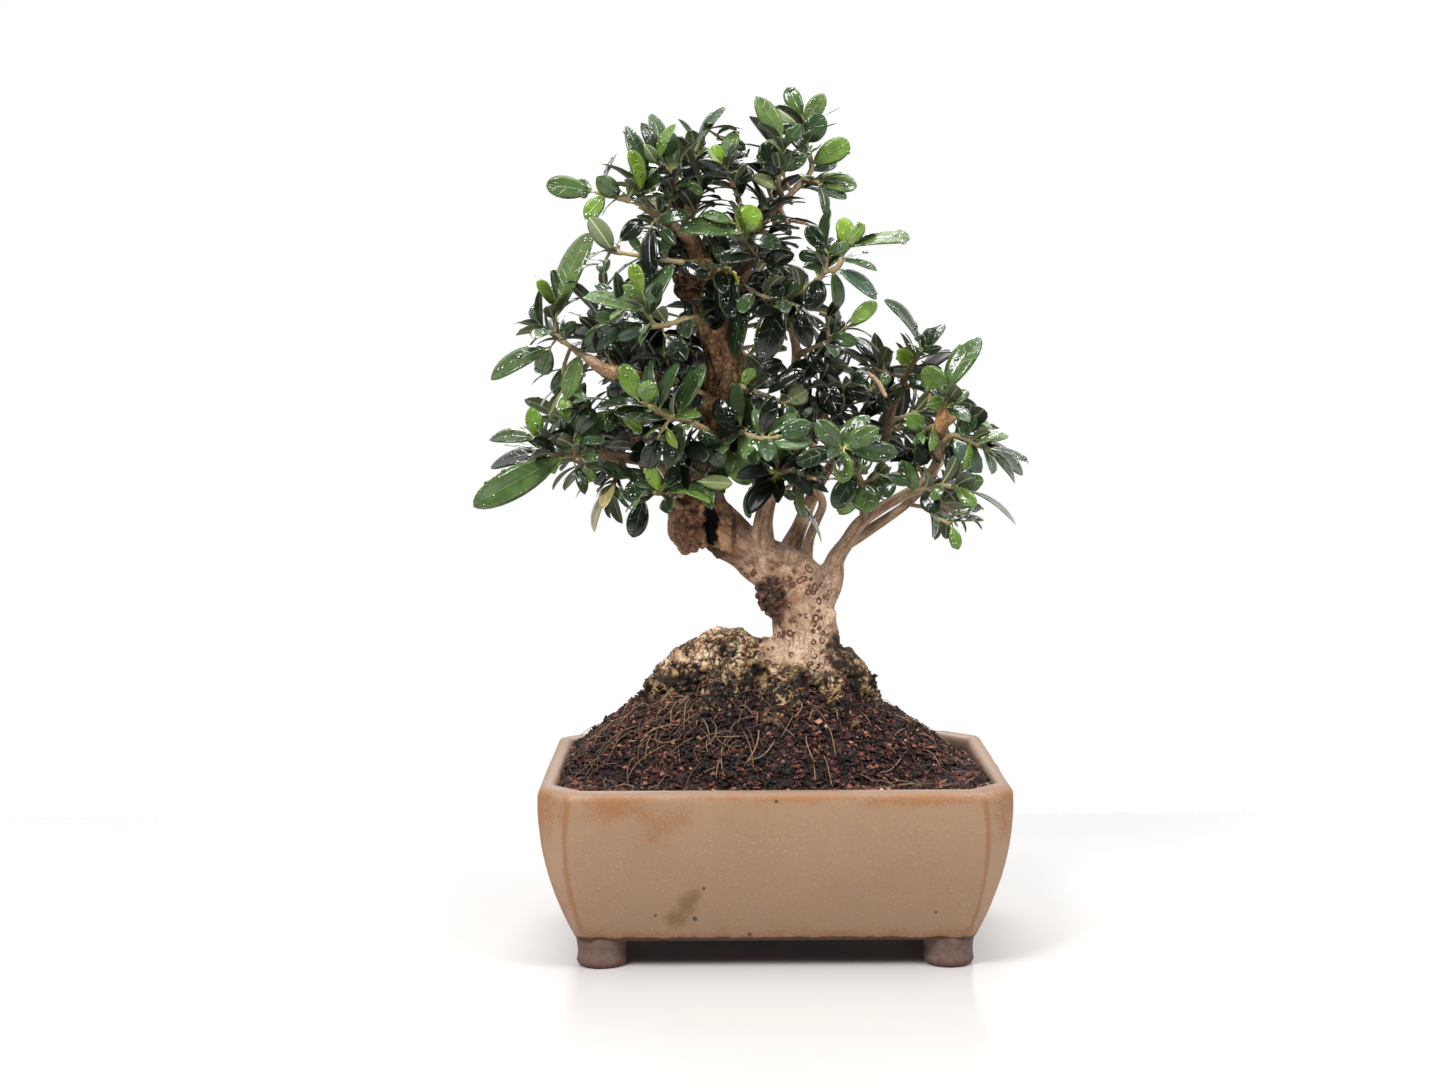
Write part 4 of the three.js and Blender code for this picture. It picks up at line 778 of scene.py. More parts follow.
def tree_of(points):
    """A search tree that finds the points nearest to a place."""
    tree = KDTree(len(points))
    for index, point in enumerate(points):
        tree.insert(point, index)
    tree.balance()
    return tree


NEAREST = 14
guide_tree = tree_of([guide[1] for guide in guides])
owners = np.empty(len(wood_points), int)
for index, point in enumerate(wood_points):
    near = guide_tree.find_n(point, NEAREST)
    owners[index] = min(near, key=lambda found: found[2] - guides[found[1]][2])[1]
kinds, middles, radii, runs, acrosses, overs = (np.array(told)[owners] for told in zip(*guides))
away = wood_points - middles
round_x, round_y = (away * acrosses).sum(1), (away * overs).sum(1)
print("kinds of wood:", sorted(set(kinds)))

# %% [markdown]
# ## Bark relief
# Old olive wood differs from place to place. The root mass is a crust of plates and crevices, the burr
# is a cluster of knobs, the upper trunk flakes, and young limbs have fine lengthwise folds. Each zone
# has a weight from 0 to 1 at each point, and each pushes the skin in or out along its normal.

# %% Zones and relief
seen_x, seen_z, _ = as_seen(wood_points.T)


def near_to(x, z, wide, tall):
    """1 at a place as seen and falling off round it."""
    return np.exp(-(((seen_x - x) / wide) ** 2) - ((seen_z - z) / tall) ** 2)


ragged = 5 * rough(wood_points, 9, 11, 2)
crusty = step_between(-(seen_z + ragged), -116, -106)
crusty = np.maximum(crusty, step_between(-(seen_x + ragged), 0, 7) * (seen_z < 134))
crusty = np.maximum(crusty, 0.9 * near_to(29, 116, 7, 9))
burry = step_between(near_to(-0.5, 138.5, 6.5, 9) + 0.12 * rough(wood_points, 3, 12, 2), 0.3, 0.6)
wounded = np.clip(1.7 * np.maximum(near_to(-28, 167, 11, 13), near_to(-25, 158, 9, 8)), 0, 1)
flaky = step_between(seen_z + ragged, 184, 198) * step_between(radii, 2.2, 3.4)
stub = near_to(-35, 263, 6, 6)
young = 1 - step_between(radii, 2.2, 5)
skin_places = np.stack([round_x, round_y, runs / 6], 1)
folds = rough(skin_places, 1.5, 21, 2)
plates = rough(wood_points, 6.5, 31, 3)
nodules = 1 - np.abs(rough(wood_points, 2.6, 41, 1)) * 2
cracks = np.minimum(1, np.abs(rough(wood_points, 4.5, 51, 2)) / 0.22)
heights = 0.16 * folds * (1 - crusty)
heights += crusty * (1.1 * plates + 0.75 * nodules + 1.5 * (cracks - 1))
heights += burry * (1.5 * plates + 0.9 * nodules + 2.0 * (cracks - 1))
heights += wounded * (1.5 * plates + 0.8 * rough(wood_points, 2.0, 72, 1) + 1.2 * (cracks - 1))
heights += flaky * (0.9 * rough(skin_places, 3.2, 81, 3) + 0.7 * plates + 0.9 * (cracks - 1))
heights += stub * (0.8 * nodules + 0.8 * plates)
heights += 0.5 * rough(wood_points, 11, 91, 2) * step_between(radii, 4, 9)
heights *= 1 - 0.8 * young
wood_points = wood_points + wood_normals * heights[:, None]
print("bark relief from", round(heights.min(), 2), "to", round(heights.max(), 2), "mm")

# %% [markdown]
# ## The old wound
# A big branch was once cut from the bend, and the heart rotted out. The hollow is a pit with its shade
# painted black, and a lip of pale bare wood. The points in front of it are pushed back on to an egg-shaped
# floor.

# %% Hollow
HOLLOW_AT = place([-24.5, 167, -9])
HOLLOW_HALF = np.array([3.3, 6.5, 8.8])
inward = (wood_points - HOLLOW_AT) / HOLLOW_HALF
torn_edge = 1 + 0.6 * rough(wood_points, 3, 171, 2)
inside_hollow = (inward[:, 0] ** 2 + inward[:, 2] ** 2 < torn_edge) & (wood_points[:, 1] < 2)
bowl = np.sqrt(np.clip(1 - inward[:, 0] ** 2 - inward[:, 2] ** 2, 0, 1))
floor_depth = HOLLOW_AT[1] + HOLLOW_HALF[1] * bowl
wood_points[:, 1] = np.where(inside_hollow, np.maximum(wood_points[:, 1], floor_depth), wood_points[:, 1])
print("points in the hollow:", int(inside_hollow.sum()))

# %% [markdown]
# ## What colour the bark has grown, and its painted shade
# The broad colours follow the same zones: beige-pink trunk, ochre and black crust, rusty flakes higher
# up, grey-tan limbs. Painted shade darkens crevices, the hollow and lines round the wound. They are mixed
# point by point and painted on. Finer marks come in the material.

# %% Broad bark colours
patchy = 0.5 + 0.5 * rough(wood_points, 12, 101, 3)
spotty = 0.5 + 0.5 * rough(wood_points, 3.5, 111, 2)
bark_colour = colours(["#BE9C82"], np.zeros(len(wood_points), int))


def tint(share, code):
    """Moves the bark's colours towards a hex colour by a share for each point."""
    bark_colour[:] = bark_colour + (np.array(linear(code)) - bark_colour) * np.clip(share, 0, 1)[:, None]


tint(step_between(patchy, 0.35, 0.8), "#987C64")
tint(step_between(spotty, 0.6, 0.9) * 0.6, "#CCAE94")
tint(near_to(14, 114, 13, 10) * 0.8, "#DCC0A4")
tint(young * 0.5, "#B89C7E")
tint(flaky * 0.9, "#B88E60")
tint(flaky * step_between(patchy, 0.45, 0.7) * 0.6, "#94643F")
tint(flaky * step_between(spotty, 0.5, 0.75) * 0.9, "#CCA67A")
# Painted shade: points that the relief pushed in, on the flakes and the wound, are darkened as the shade in
# their crevices.
tint((flaky + wounded) * step_between(-heights, 0.5, 1.3), "#1E120C")
tint(wounded * 0.9 * step_between(spotty, 0.1, 0.4), "#9C6A4A")
tint(wounded * 0.8 * step_between(spotty, 0.5, 0.7), "#CC9E78")
tint(crusty * 0.9, "#BC966E")
low_crust = step_between(-(seen_z + 1.4 * ragged), -114, -105)
tint(crusty * low_crust * 0.7, "#8E7446")
tint(crusty * step_between(spotty, 0.5, 0.65) * (0.8 - 0.6 * low_crust), "#E0C4A2")
tint(crusty * step_between(patchy, 0.55, 0.7) * 0.6, "#5C4C28")
# Painted shade: black blotches stand for the shade in crevices of the lower crust, and darken the root collar
# below.
painted_gap_shade = step_between(0.5 + 0.5 * rough(wood_points, 2.8, 131, 3), 0.48, 0.54)
tint(crusty * low_crust * painted_gap_shade * 0.95, "#120B08")
# Painted shade: the crust's pushed-in crevices are darkened nearly to black.
tint(crusty * step_between(-heights, 0.4, 0.9), "#140D09")
collar = step_between(near_to(29, 115, 7, 9) + 0.2 * rough(wood_points, 4, 141, 2), 0.35, 0.5)
tint(collar * (0.45 + 0.5 * painted_gap_shade), "#24170F")
tint(burry * 0.9, "#2A1B14")
tint(burry * step_between(spotty, 0.4, 0.6) * 0.85, "#7E5A46")
# Painted shade: the burr's pushed-in crevices are darkened nearly to black.
tint(burry * step_between(-heights, 0.2, 1.2), "#0E0907")
tint(near_to(-19, 118, 2.6, 2.2), "#120B08")
lip = step_between(near_to(-18.8, 167, 2.6, 9) + 0.35 * rough(wood_points, 2.2, 151, 2), 0.3, 0.75)
tint(lip * 0.9, "#C49C74")
# Painted shade: a dark line along the outer side of the wound's lip.
tint(step_between(near_to(-15.4, 165, 1.6, 9) + 0.3 * spotty, 0.6, 0.9) * 0.7, "#2A1A12")
reddened = step_between(0.5 + 0.5 * rough(wood_points, 1.8, 161, 2), 0.45, 0.6)
tint(near_to(8, 138, 9, 13) * reddened * 0.6, "#8E543C")
tint(near_to(19, 144, 5, 8) * 0.6, "#857A6A")
# Painted shade: a dark band under the wound, and the hollow painted near black.
tint(step_between(near_to(-23, 156, 6, 2.6), 0.4, 0.7) * 0.8 + inside_hollow, "#0C0807")
tint(stub * 0.8, "#5E4030")
tint((kinds == "knot") * near_to(67, 210, 10, 12) * 0.7, "#B07A3C")

# %% [markdown]
# ## Olive bark
# Live bark is a dull skin, so it is rough everywhere. On the lower trunk the breathing pores have grown
# into little reddish rings of about 2 mm, joined in curly chains. A Voronoi texture gives a distance
# from scattered middles, and a narrow band of that distance is a ring. Limbs have fine lengthwise lines,
# made with noise that is stretched along the limb.

# %% Olive bark
bark, node, where = new_material("olive bark")
bark_and_shade_colour = node("Attribute", attribute_name="grown colour", output="Color")
ring_zone, line_zone, crust_zone = (
    node("Attribute", attribute_name=layer, output="Fac") for layer in ("rings", "lines", "crust"))
limb_place = node("Attribute", attribute_name="limb place", output="Vector")
bent = node("TexNoise", {"Vector": where, "Scale": 1 / 5}, output="Color")
shifted = node("VectorMath", {0: bent, 1: (2.4, 2.4, 2.4), 2: where}, operation="MULTIPLY_ADD")
middles_away = node("TexVoronoi", {"Vector": shifted, "Scale": 1 / 3.2, "Randomness": 0.9})
ring_band = node("Math", {0: middles_away, 1: 0.33}, operation="SUBTRACT")
ring_band = node("Math", {0: ring_band}, operation="ABSOLUTE")
ring = node("MapRange", {0: ring_band, 1: 0.16, 2: 0.06})
chains = node("TexNoise", {"Vector": where, "Scale": 1 / 9, "Detail": 3.0})
chain_share = node("MapRange", {0: chains, 1: 0.38, 2: 0.46})
ring = node("Math", {0: ring, 1: chain_share}, operation="MULTIPLY")
ring_share = node("Math", {0: ring, 1: ring_zone}, operation="MULTIPLY")
lines = node("TexNoise", {"Vector": limb_place, "Scale": 1 / 1.7, "Detail": 4.0, "Roughness": 0.65})
line_share = node("MapRange", {0: lines, 1: 0.5, 2: 0.6, 4: 0.75})
line_share = node("Math", {0: line_share, 1: line_zone}, operation="MULTIPLY")
grit = node("TexNoise", {"Vector": where, "Scale": 1 / 1.3, "Detail": 4.0, "Roughness": 0.7})
grit_share = node("MapRange", {0: grit, 1: 0.54, 2: 0.66, 4: 0.5})
crust_dark = node("Math", {0: grit_share, 1: crust_zone}, operation="MULTIPLY")
fine = node("TexNoise", {"Vector": where, "Scale": 1 / 0.7})
fine_share = node("MapRange", {0: fine, 1: 0.35, 2: 0.65, 3: 0.7, 4: 1.25})
shaded = node("Mix", {0: 1.0, 6: bark_and_shade_colour, 7: fine_share}, **SHADED)
ringed = node("Mix", {0: ring_share, 6: shaded, 7: "#5E3424"}, **IN_COLOUR)
lined = node("Mix", {0: line_share, 6: ringed, 7: "#70503E"}, **IN_COLOUR)
speckled = node("Mix", {0: crust_dark, 6: lined, 7: "#3A2A1C"}, **IN_COLOUR)
wrung = node("TexNoise", {"Vector": where, "Scale": 1 / 3.5, "Detail": 4.0}, output="Color")
wrung = node("VectorMath", {0: wrung, 1: (6, 6, 6), 2: where}, operation="MULTIPLY_ADD")
to_crevice = node("TexVoronoi", {"Vector": wrung, "Scale": 1 / 3.8}, feature="DISTANCE_TO_EDGE")
round_plates = node("MapRange", {0: to_crevice, 1: 0.13, 2: 0.03})
plates_here = node("MapRange", {0: chains, 1: 0.44, 2: 0.54, 4: 0.9})
round_plates = node("Math", {0: round_plates, 1: plates_here}, operation="MULTIPLY")
torn = node("TexNoise", {"Vector": where, "Scale": 1 / 4.5, "Detail": 5.0, "Roughness": 0.62})
torn_away = node("Math", {0: torn, 1: 0.5}, operation="SUBTRACT")
torn_away = node("Math", {0: torn_away}, operation="ABSOLUTE")
torn_lines = node("MapRange", {0: torn_away, 1: 0.03, 2: 0.008, 4: 0.9})
crevice_and_shade = node("Math", {0: round_plates, 1: torn_lines}, operation="MAXIMUM")
crevice_and_shade = node("Math", {0: crevice_and_shade, 1: crust_zone}, operation="MULTIPLY")
# Painted shade: the crevice lines are darkened nearly to black, for the shade in them; a bump presses the
# same lines in.
crevice_shaded = node("Mix", {0: crevice_and_shade, 6: speckled, 7: "#140D09"}, **IN_COLOUR)
ring_relief = node("Bump", {"Height": ring_share, "Distance": 0.5 * MM})
line_relief = node("Bump", {"Height": lines, "Distance": 0.3 * MM, "Normal": ring_relief})
crevice_relief = node("Bump", {"Height": crevice_and_shade, "Distance": -0.9 * MM, "Normal": line_relief})
grit_relief = node("Bump", {"Height": grit, "Distance": 0.5 * MM, "Normal": crevice_relief})
live_bark = {"Base Color": crevice_shaded, "Roughness": 0.78, "IOR": 1.4, "Normal": grit_relief}
node("OutputMaterial", {"Surface": node("BsdfPrincipled", live_bark)})

# %% The wood piece
wood = add_piece("tree_wood", wood_points, wood_faces, [bark], "bark", ["wood"])
paint(wood, "grown colour", bark_colour)
trunk_rings = step_between(seen_z, 104, 112) * (1 - step_between(seen_z, 146, 160))
trunk_rings *= step_between(radii, 5, 8)
paint(wood, "rings", trunk_rings * (1 - burry) * (1 - 0.6 * crusty))
paint(wood, "lines", np.clip(1 - crusty - burry - 0.5 * flaky - 0.3 * trunk_rings, 0.1, 1) * ~inside_hollow)
crust = crusty + burry + 0.55 * (flaky + wounded) + stub - 1.2 * lip
paint(wood, "crust", np.clip(crust, 0, 1) * ~inside_hollow)
paint(wood, "limb place", np.stack([round_x, round_y, runs / 7], 1))

# %% [markdown]
# ## The soil
# Bonsai soil here is damp peat and bark fines, mounded up against the roots. Hair or particles would
# scatter grains quickly, but the export drops them. So the mound is one closed skin with its own relief,
# and the crumbs heaped on it are small dented octahedra, each with its own colour.

# %% Mound and crumb sizes
SOIL_EDGE, MOUND_RISE, MOUND_AT, MOUND_HALF, MOUND_POWER, CORNER_SETTLE = 70, 36, -7, (85, 58), 0.9, 5
SOIL_STEPS = {"long": 84, "short": 58, "cut": 5, "edge": 2}
CRUMBS, CHIPS, CLINGING, LARGEST_CRUMB = 22000, 160, 4200, 4.5
CRUMB_SIZE, CLINGING_SIZE, CHIP_SIZE = (0.42, 0.3), (0.3, 0.35), (2.2, 3.8)
CRUMB_FLAT, CLINGING_FLAT, CHIP_FLAT = 0.95, 0.8, 0.4
CRUMB_SEED, MOUND_RINGS, SOIL_GAP, MOUTH_MARGIN = 5, 48, 0.4, 1.5
CRUMB_COLOURS = ["#2A1610", "#3C211A", "#4E2B22", "#62392D", "#120A07", "#704436", "#865C4A", "#A08268"]
CRUMB_CORNERS = np.array([(1, 0, 0), (0, 1, 0), (-1, 0, 0), (0, -1, 0), (0, 0, 1), (0, 0, -1)], float)
CRUMB_FACES = [(0, 1, 4), (1, 2, 4), (2, 3, 4), (3, 0, 4), (1, 0, 5), (2, 1, 5), (3, 2, 5), (0, 3, 5)]


def soil_height(x, y):
    """Height of the mound at places in the pot. By the end walls it settles to about the rim's height."""
    away = ((x - MOUND_AT) / MOUND_HALF[0]) ** 2 + (y / MOUND_HALF[1]) ** 2
    rise = MOUND_RISE * np.maximum(0, 1 - away) ** MOUND_POWER
    mouth_x, mouth_y = POT_LENGTH / 2 - POT_WALL, POT_WIDTH / 2 - POT_WALL
    rise = np.minimum(rise, 1.5 + 0.8 * np.maximum(0, mouth_x - np.abs(x)))
    corner = np.maximum(0, x / mouth_x) * np.maximum(0, y / mouth_y)
    return SOIL_EDGE + rise - CORNER_SETTLE * corner


print("top of the mound:", round(float(soil_height(MOUND_AT, 0)), 1), "mm")

# %% [markdown]
# ## The mound's skin
# The skin starts at the pot's floor, follows its walls and closes over the mound in shrinking rings. The
# relief comes in three sizes: settled hollows of a centimetre, clods of a few millimetres, and crumbs.

# %% Mound
soil_rings = [pot_ring(POT_FLOOR + SOIL_GAP, draw_in(POT_FLOOR) + POT_WALL + 2 + SOIL_GAP, SOIL_STEPS)]
soil_rings.append(pot_ring(44, draw_in(44) + POT_WALL + SOIL_GAP, SOIL_STEPS))
soil_rings.append(pot_ring(67, POT_WALL + 0.35, SOIL_STEPS))
edge = np.array(soil_rings[-1])
under = sum(len(ring) for ring in soil_rings)
for share in np.linspace(1, 0.02, MOUND_RINGS):
    xy = edge[:, :2] * share
    soil_rings.append(np.column_stack([xy, soil_height(xy[:, 0], xy[:, 1])]))
mound_points, mound_faces = loft(soil_rings)
above = np.arange(len(mound_points)) >= under
settled = 0.9 * rough(mound_points, 14, 201, 1) + 0.55 * rough(mound_points, 5, 202, 1)
crumbly = 0.9 * rough(mound_points, 2.6, 203, 2)
mound_points[:, 2] += (settled + crumbly - 0.7) * above
# The skin shows only between the crumbs, so its near-black colours are partly damp peat and partly painted
# shade in the gaps.
mound_picks = np.clip((2.4 + 2.2 * rough(mound_points, 2.2, 205, 2)), 0, 4).astype(int)
mound_colour = colours(["#0D0706", "#170C08", "#22120D", "#2E1912", "#3B2118"], mound_picks)

# %% [markdown]
# ## Crumbs and bark chips
# Crumbs lie where they fell: pressed a little into the surface, more of them small than large. Chips of
# orchid bark are flatter, redder and about 3 mm long. Other crumbs cling to the foot of the root mass,
# where the old soil line was, and take their places from the wood's own skin.

# %% Crumbs
draw = np.random.default_rng(CRUMB_SEED)
wood_tree = tree_of(wood_points)


def on_mound():
    """A random place on the soil inside the pot's mouth, clear of the wood's middle."""
    while True:
        half_x, half_y = (size / 2 - POT_WALL - MOUTH_MARGIN for size in (POT_LENGTH, POT_WIDTH))
        x, y = draw.uniform(-half_x, half_x), draw.uniform(-half_y, half_y)
        if abs(x) + abs(y) > (POT_LENGTH + POT_WIDTH) / 2 - 2 * POT_WALL - CORNER_CUT_TOP - 2:
            continue
        spot = np.array([x, y, soil_height(x, y)])
        near, index, gap = wood_tree.find(spot)
        if gap > 6 or gap > 0.6 and np.dot(spot - wood_points[index], wood_normals[index]) > 0:
            return spot


def crumb(spot, size, flat):
    """A crumb's points: a squashed, dented and turned octahedron."""
    corners = CRUMB_CORNERS * size / 2 * draw.uniform(0.75, 1.3, (6, 1)) * np.array([1.25, 0.85, flat])
    spin, tip = draw.uniform(0, 2 * math.pi), draw.normal(0, 0.35)
    lean = np.array([[math.cos(tip), 0, math.sin(tip)], [0, 1, 0], [-math.sin(tip), 0, math.cos(tip)]])
    turn = np.array([[math.cos(spin), -math.sin(spin), 0], [math.sin(spin), math.cos(spin), 0], [0, 0, 1]])
    return corners @ lean.T @ turn.T + spot


clinging = np.flatnonzero((seen_z < 106 + ragged) & (seen_z > 78) & (wood_normals[:, 2] > -0.3))
clinging = draw.choice(clinging, CLINGING, replace=False)
loose_parts, loose_colour = [], []
weights = [0.18, 0.22, 0.2, 0.13, 0.14, 0.07, 0.04, 0.02]
spots = [(on_mound(), draw.lognormal(*CRUMB_SIZE), CRUMB_FLAT, draw.choice(8, p=weights))
    for _ in range(CRUMBS)]
spots += [(on_mound(), draw.uniform(*CHIP_SIZE), CHIP_FLAT, draw.choice([3, 5, 6])) for _ in range(CHIPS)]
spots += [(wood_points[k], draw.lognormal(*CLINGING_SIZE), CLINGING_FLAT, draw.choice(5)) for k in clinging
    if draw.uniform() < 1.3 - (seen_z[k] - 84) / 20]
for spot, size, flat, pick in spots:
    size = min(size, LARGEST_CRUMB)
    heap = size * draw.uniform(-0.35, 0.55)
    loose_parts.append((crumb(spot + [0, 0, heap], size, flat), CRUMB_FACES))
    # Painted shade: each crumb is darkened by a random share, partly its own tone and partly the shade
    # between crumbs, and more in a painted shadow under the root mass.
    shadow = math.exp(-(((spot[0] + 17) / 17) ** 2) - ((spot[2] - 93) / 10) ** 2)
    shade = (0.14 + 1.5 * draw.uniform() ** 2) * (1 - 0.7 * shadow)
    loose_colour.append(np.tile(np.array(linear(CRUMB_COLOURS[pick])) * shade, (6, 1)))
print("crumbs and chips:", len(spots))

# %% [markdown]
# ## Damp peat and bark fines
# Damp soil is almost black where water stands and red-brown where it has dried. It is rough, but smoother
# grains here and there glint a little. Grains under half a millimetre are left to a bump.

# %% Damp peat
peat, node, where = new_material("damp peat and bark fines")
crumb_colour = node("Attribute", attribute_name="crumb colour", output="Color")
grains = node("TexNoise", {"Vector": where, "Scale": 1 / 0.6, "Detail": 3.0, "Roughness": 0.7})
grain_shade = node("MapRange", {0: grains, 1: 0.3, 2: 0.7, 3: 0.55, 4: 1.5})
wet = node("TexNoise", {"Vector": where, "Scale": 1 / 6, "Detail": 4.0, "Roughness": 0.7})
wet_shade = node("MapRange", {0: wet, 1: 0.38, 2: 0.6, 3: 0.3, 4: 1.6})
grained = node("Mix", {0: 1.0, 6: crumb_colour, 7: grain_shade}, **SHADED)
soaked = node("Mix", {0: 1.0, 6: grained, 7: wet_shade}, **SHADED)
peat_rough = node("MapRange", {0: grains, 1: 0.4, 2: 0.6, 3: 0.45, 4: 0.95})
peat_relief = node("Bump", {"Height": grains, "Distance": 0.35 * MM})
damp_soil = {"Base Color": soaked, "Roughness": peat_rough, "IOR": 1.4, "Normal": peat_relief}
node("OutputMaterial", {"Surface": node("BsdfPrincipled", damp_soil)})
soil = add_piece("soil_mound", mound_points, mound_faces, [peat], "potting_soil", ["soil"])
paint(soil, "crumb colour", mound_colour)
half = len(loose_parts) // 2
for name, part in (("soil_crumbs", slice(0, half)), ("soil_crumbs_on_top", slice(half, None))):
    loose = add_piece(name, *merged(loose_parts[part]), [peat], "potting_soil")
    paint(loose, "crumb colour", np.concatenate(loose_colour[part]))
    crease(loose, 38)

# %% [markdown]
# ## Rootlets
# Fine dry roots lie all over the mound: threads under half a millimetre thick that run down its slope
# in and out of the crumbs. Stringy ones run down the left slope from the root mass, and a few stand up
# off the soil. Each is a thin tube that wanders over the surface, drawn from the seeded dice.

# %% Rootlets
ROOTLETS, ROOTLET_STEP, ROOTLET_REACH = 340, 1.25, (80, 56, 128)
STANDING = runs_of("""
-58 86 -6 0.3, -60 92 -8 0.25, -57 97 -9 0.2 | -60 82 -4 0.3, -63 89 -6 0.22 | 30 96 2 0.3, 33 101 -2 0.25,
32 105 -4 0.2 | 36 94 0 0.3, 39 100 -3 0.25, 38 104 -4 0.2 | 26 100 -8 0.3, 30 108 -10 0.25, 28 112 -9 0.2 |
-40 96 -20 0.3, -44 103 -22 0.22""")
STRINGS = runs_of("""
-40 101 -14 1.1, -50 90 -14 0.9, -58 81 -12 0.7, -66 74 -10 0.5 | -44 100 -6 1, -54 92 -8 0.8,
-63 80 -9 0.6 | -34 98 -20 1, -44 86 -24 0.8, -51 77 -26 0.5 | -22 98 -22 0.9, -27 86 -30 0.8,
-37 78 -34 0.5 | 4 98 -20 0.9, 10 88 -28 0.7, 22 80 -36 0.5 | 22 100 -12 0.8, 34 90 -18 0.6, 48 79 -20 0.4""")
rootlet_parts, rootlet_shade = [], []
rows = [curve_through(row, 1.5) for row in STANDING + STRINGS]
for number in range(ROOTLETS):
    spot = on_mound()
    if number % 2:
        spot = np.array([draw.normal(-30, 22), draw.normal(-22, 16), 0])
    heading = math.atan2(spot[1], spot[0] - MOUND_AT) + draw.normal(0, 0.8)
    bend = draw.normal(0, 0.07)
    thick = draw.uniform(0.11, 0.22)
    lift = draw.uniform(0.6, 3.0)
    count = int(draw.integers(6, 17))
    path = []
    for k in range(count):
        x, y = spot[0], spot[1]
        top = float(soil_height(x, y))
        arch = lift * math.sin(math.pi * k / count) + 0.35
        if abs(x) < ROOTLET_REACH[0] and abs(y) < ROOTLET_REACH[1] and abs(x) + abs(y) < ROOTLET_REACH[2]:
            path.append((np.array([x, y, top + arch]), thick, float(k)))
        bend += draw.normal(0, 0.08)
        heading += bend * 0.6
        spot = spot + ROOTLET_STEP * np.array([math.cos(heading), math.sin(heading), 0])
    if len(path) > 4:
        rows.append(path)
for path in rows:
    rootlet_parts.append(tube(path, 5, 0, 0.4))
    rootlet_shade += [draw.uniform(0, 1)] * len(rootlet_parts[-1][0])
root_fibre, node, where = new_material("dried root fibre")
fibre_shade = node("Attribute", attribute_name="shade", output="Fac")
blotches = node("TexNoise", {"Vector": where, "Scale": 1 / 3})
fibre_mix = node("Math", {0: fibre_shade, 1: blotches}, operation="MULTIPLY")
fibre_colour = node("Mix", {0: fibre_mix, 6: "#4A3222", 7: "#C4A078"}, **IN_COLOUR)
node("OutputMaterial", {"Surface": node("BsdfPrincipled", {"Base Color": fibre_colour, "Roughness": 0.7})})
rootlets = add_piece("rootlets", *merged(rootlet_parts), [root_fibre], "bark", ["soil"])
paint(rootlets, "shade", rootlet_shade)

# %% [markdown]
# ## Leafy sprays
# Every thin shoot is one piece with its leaves. Slashes part what each spray below holds: how many leaves
# a rule adds round its first twig, then its twigs, its leaves, and those too small for the solid model.
# A leaf holds where its base and tip look to be, how wide it looks, and how far its tip leans away.

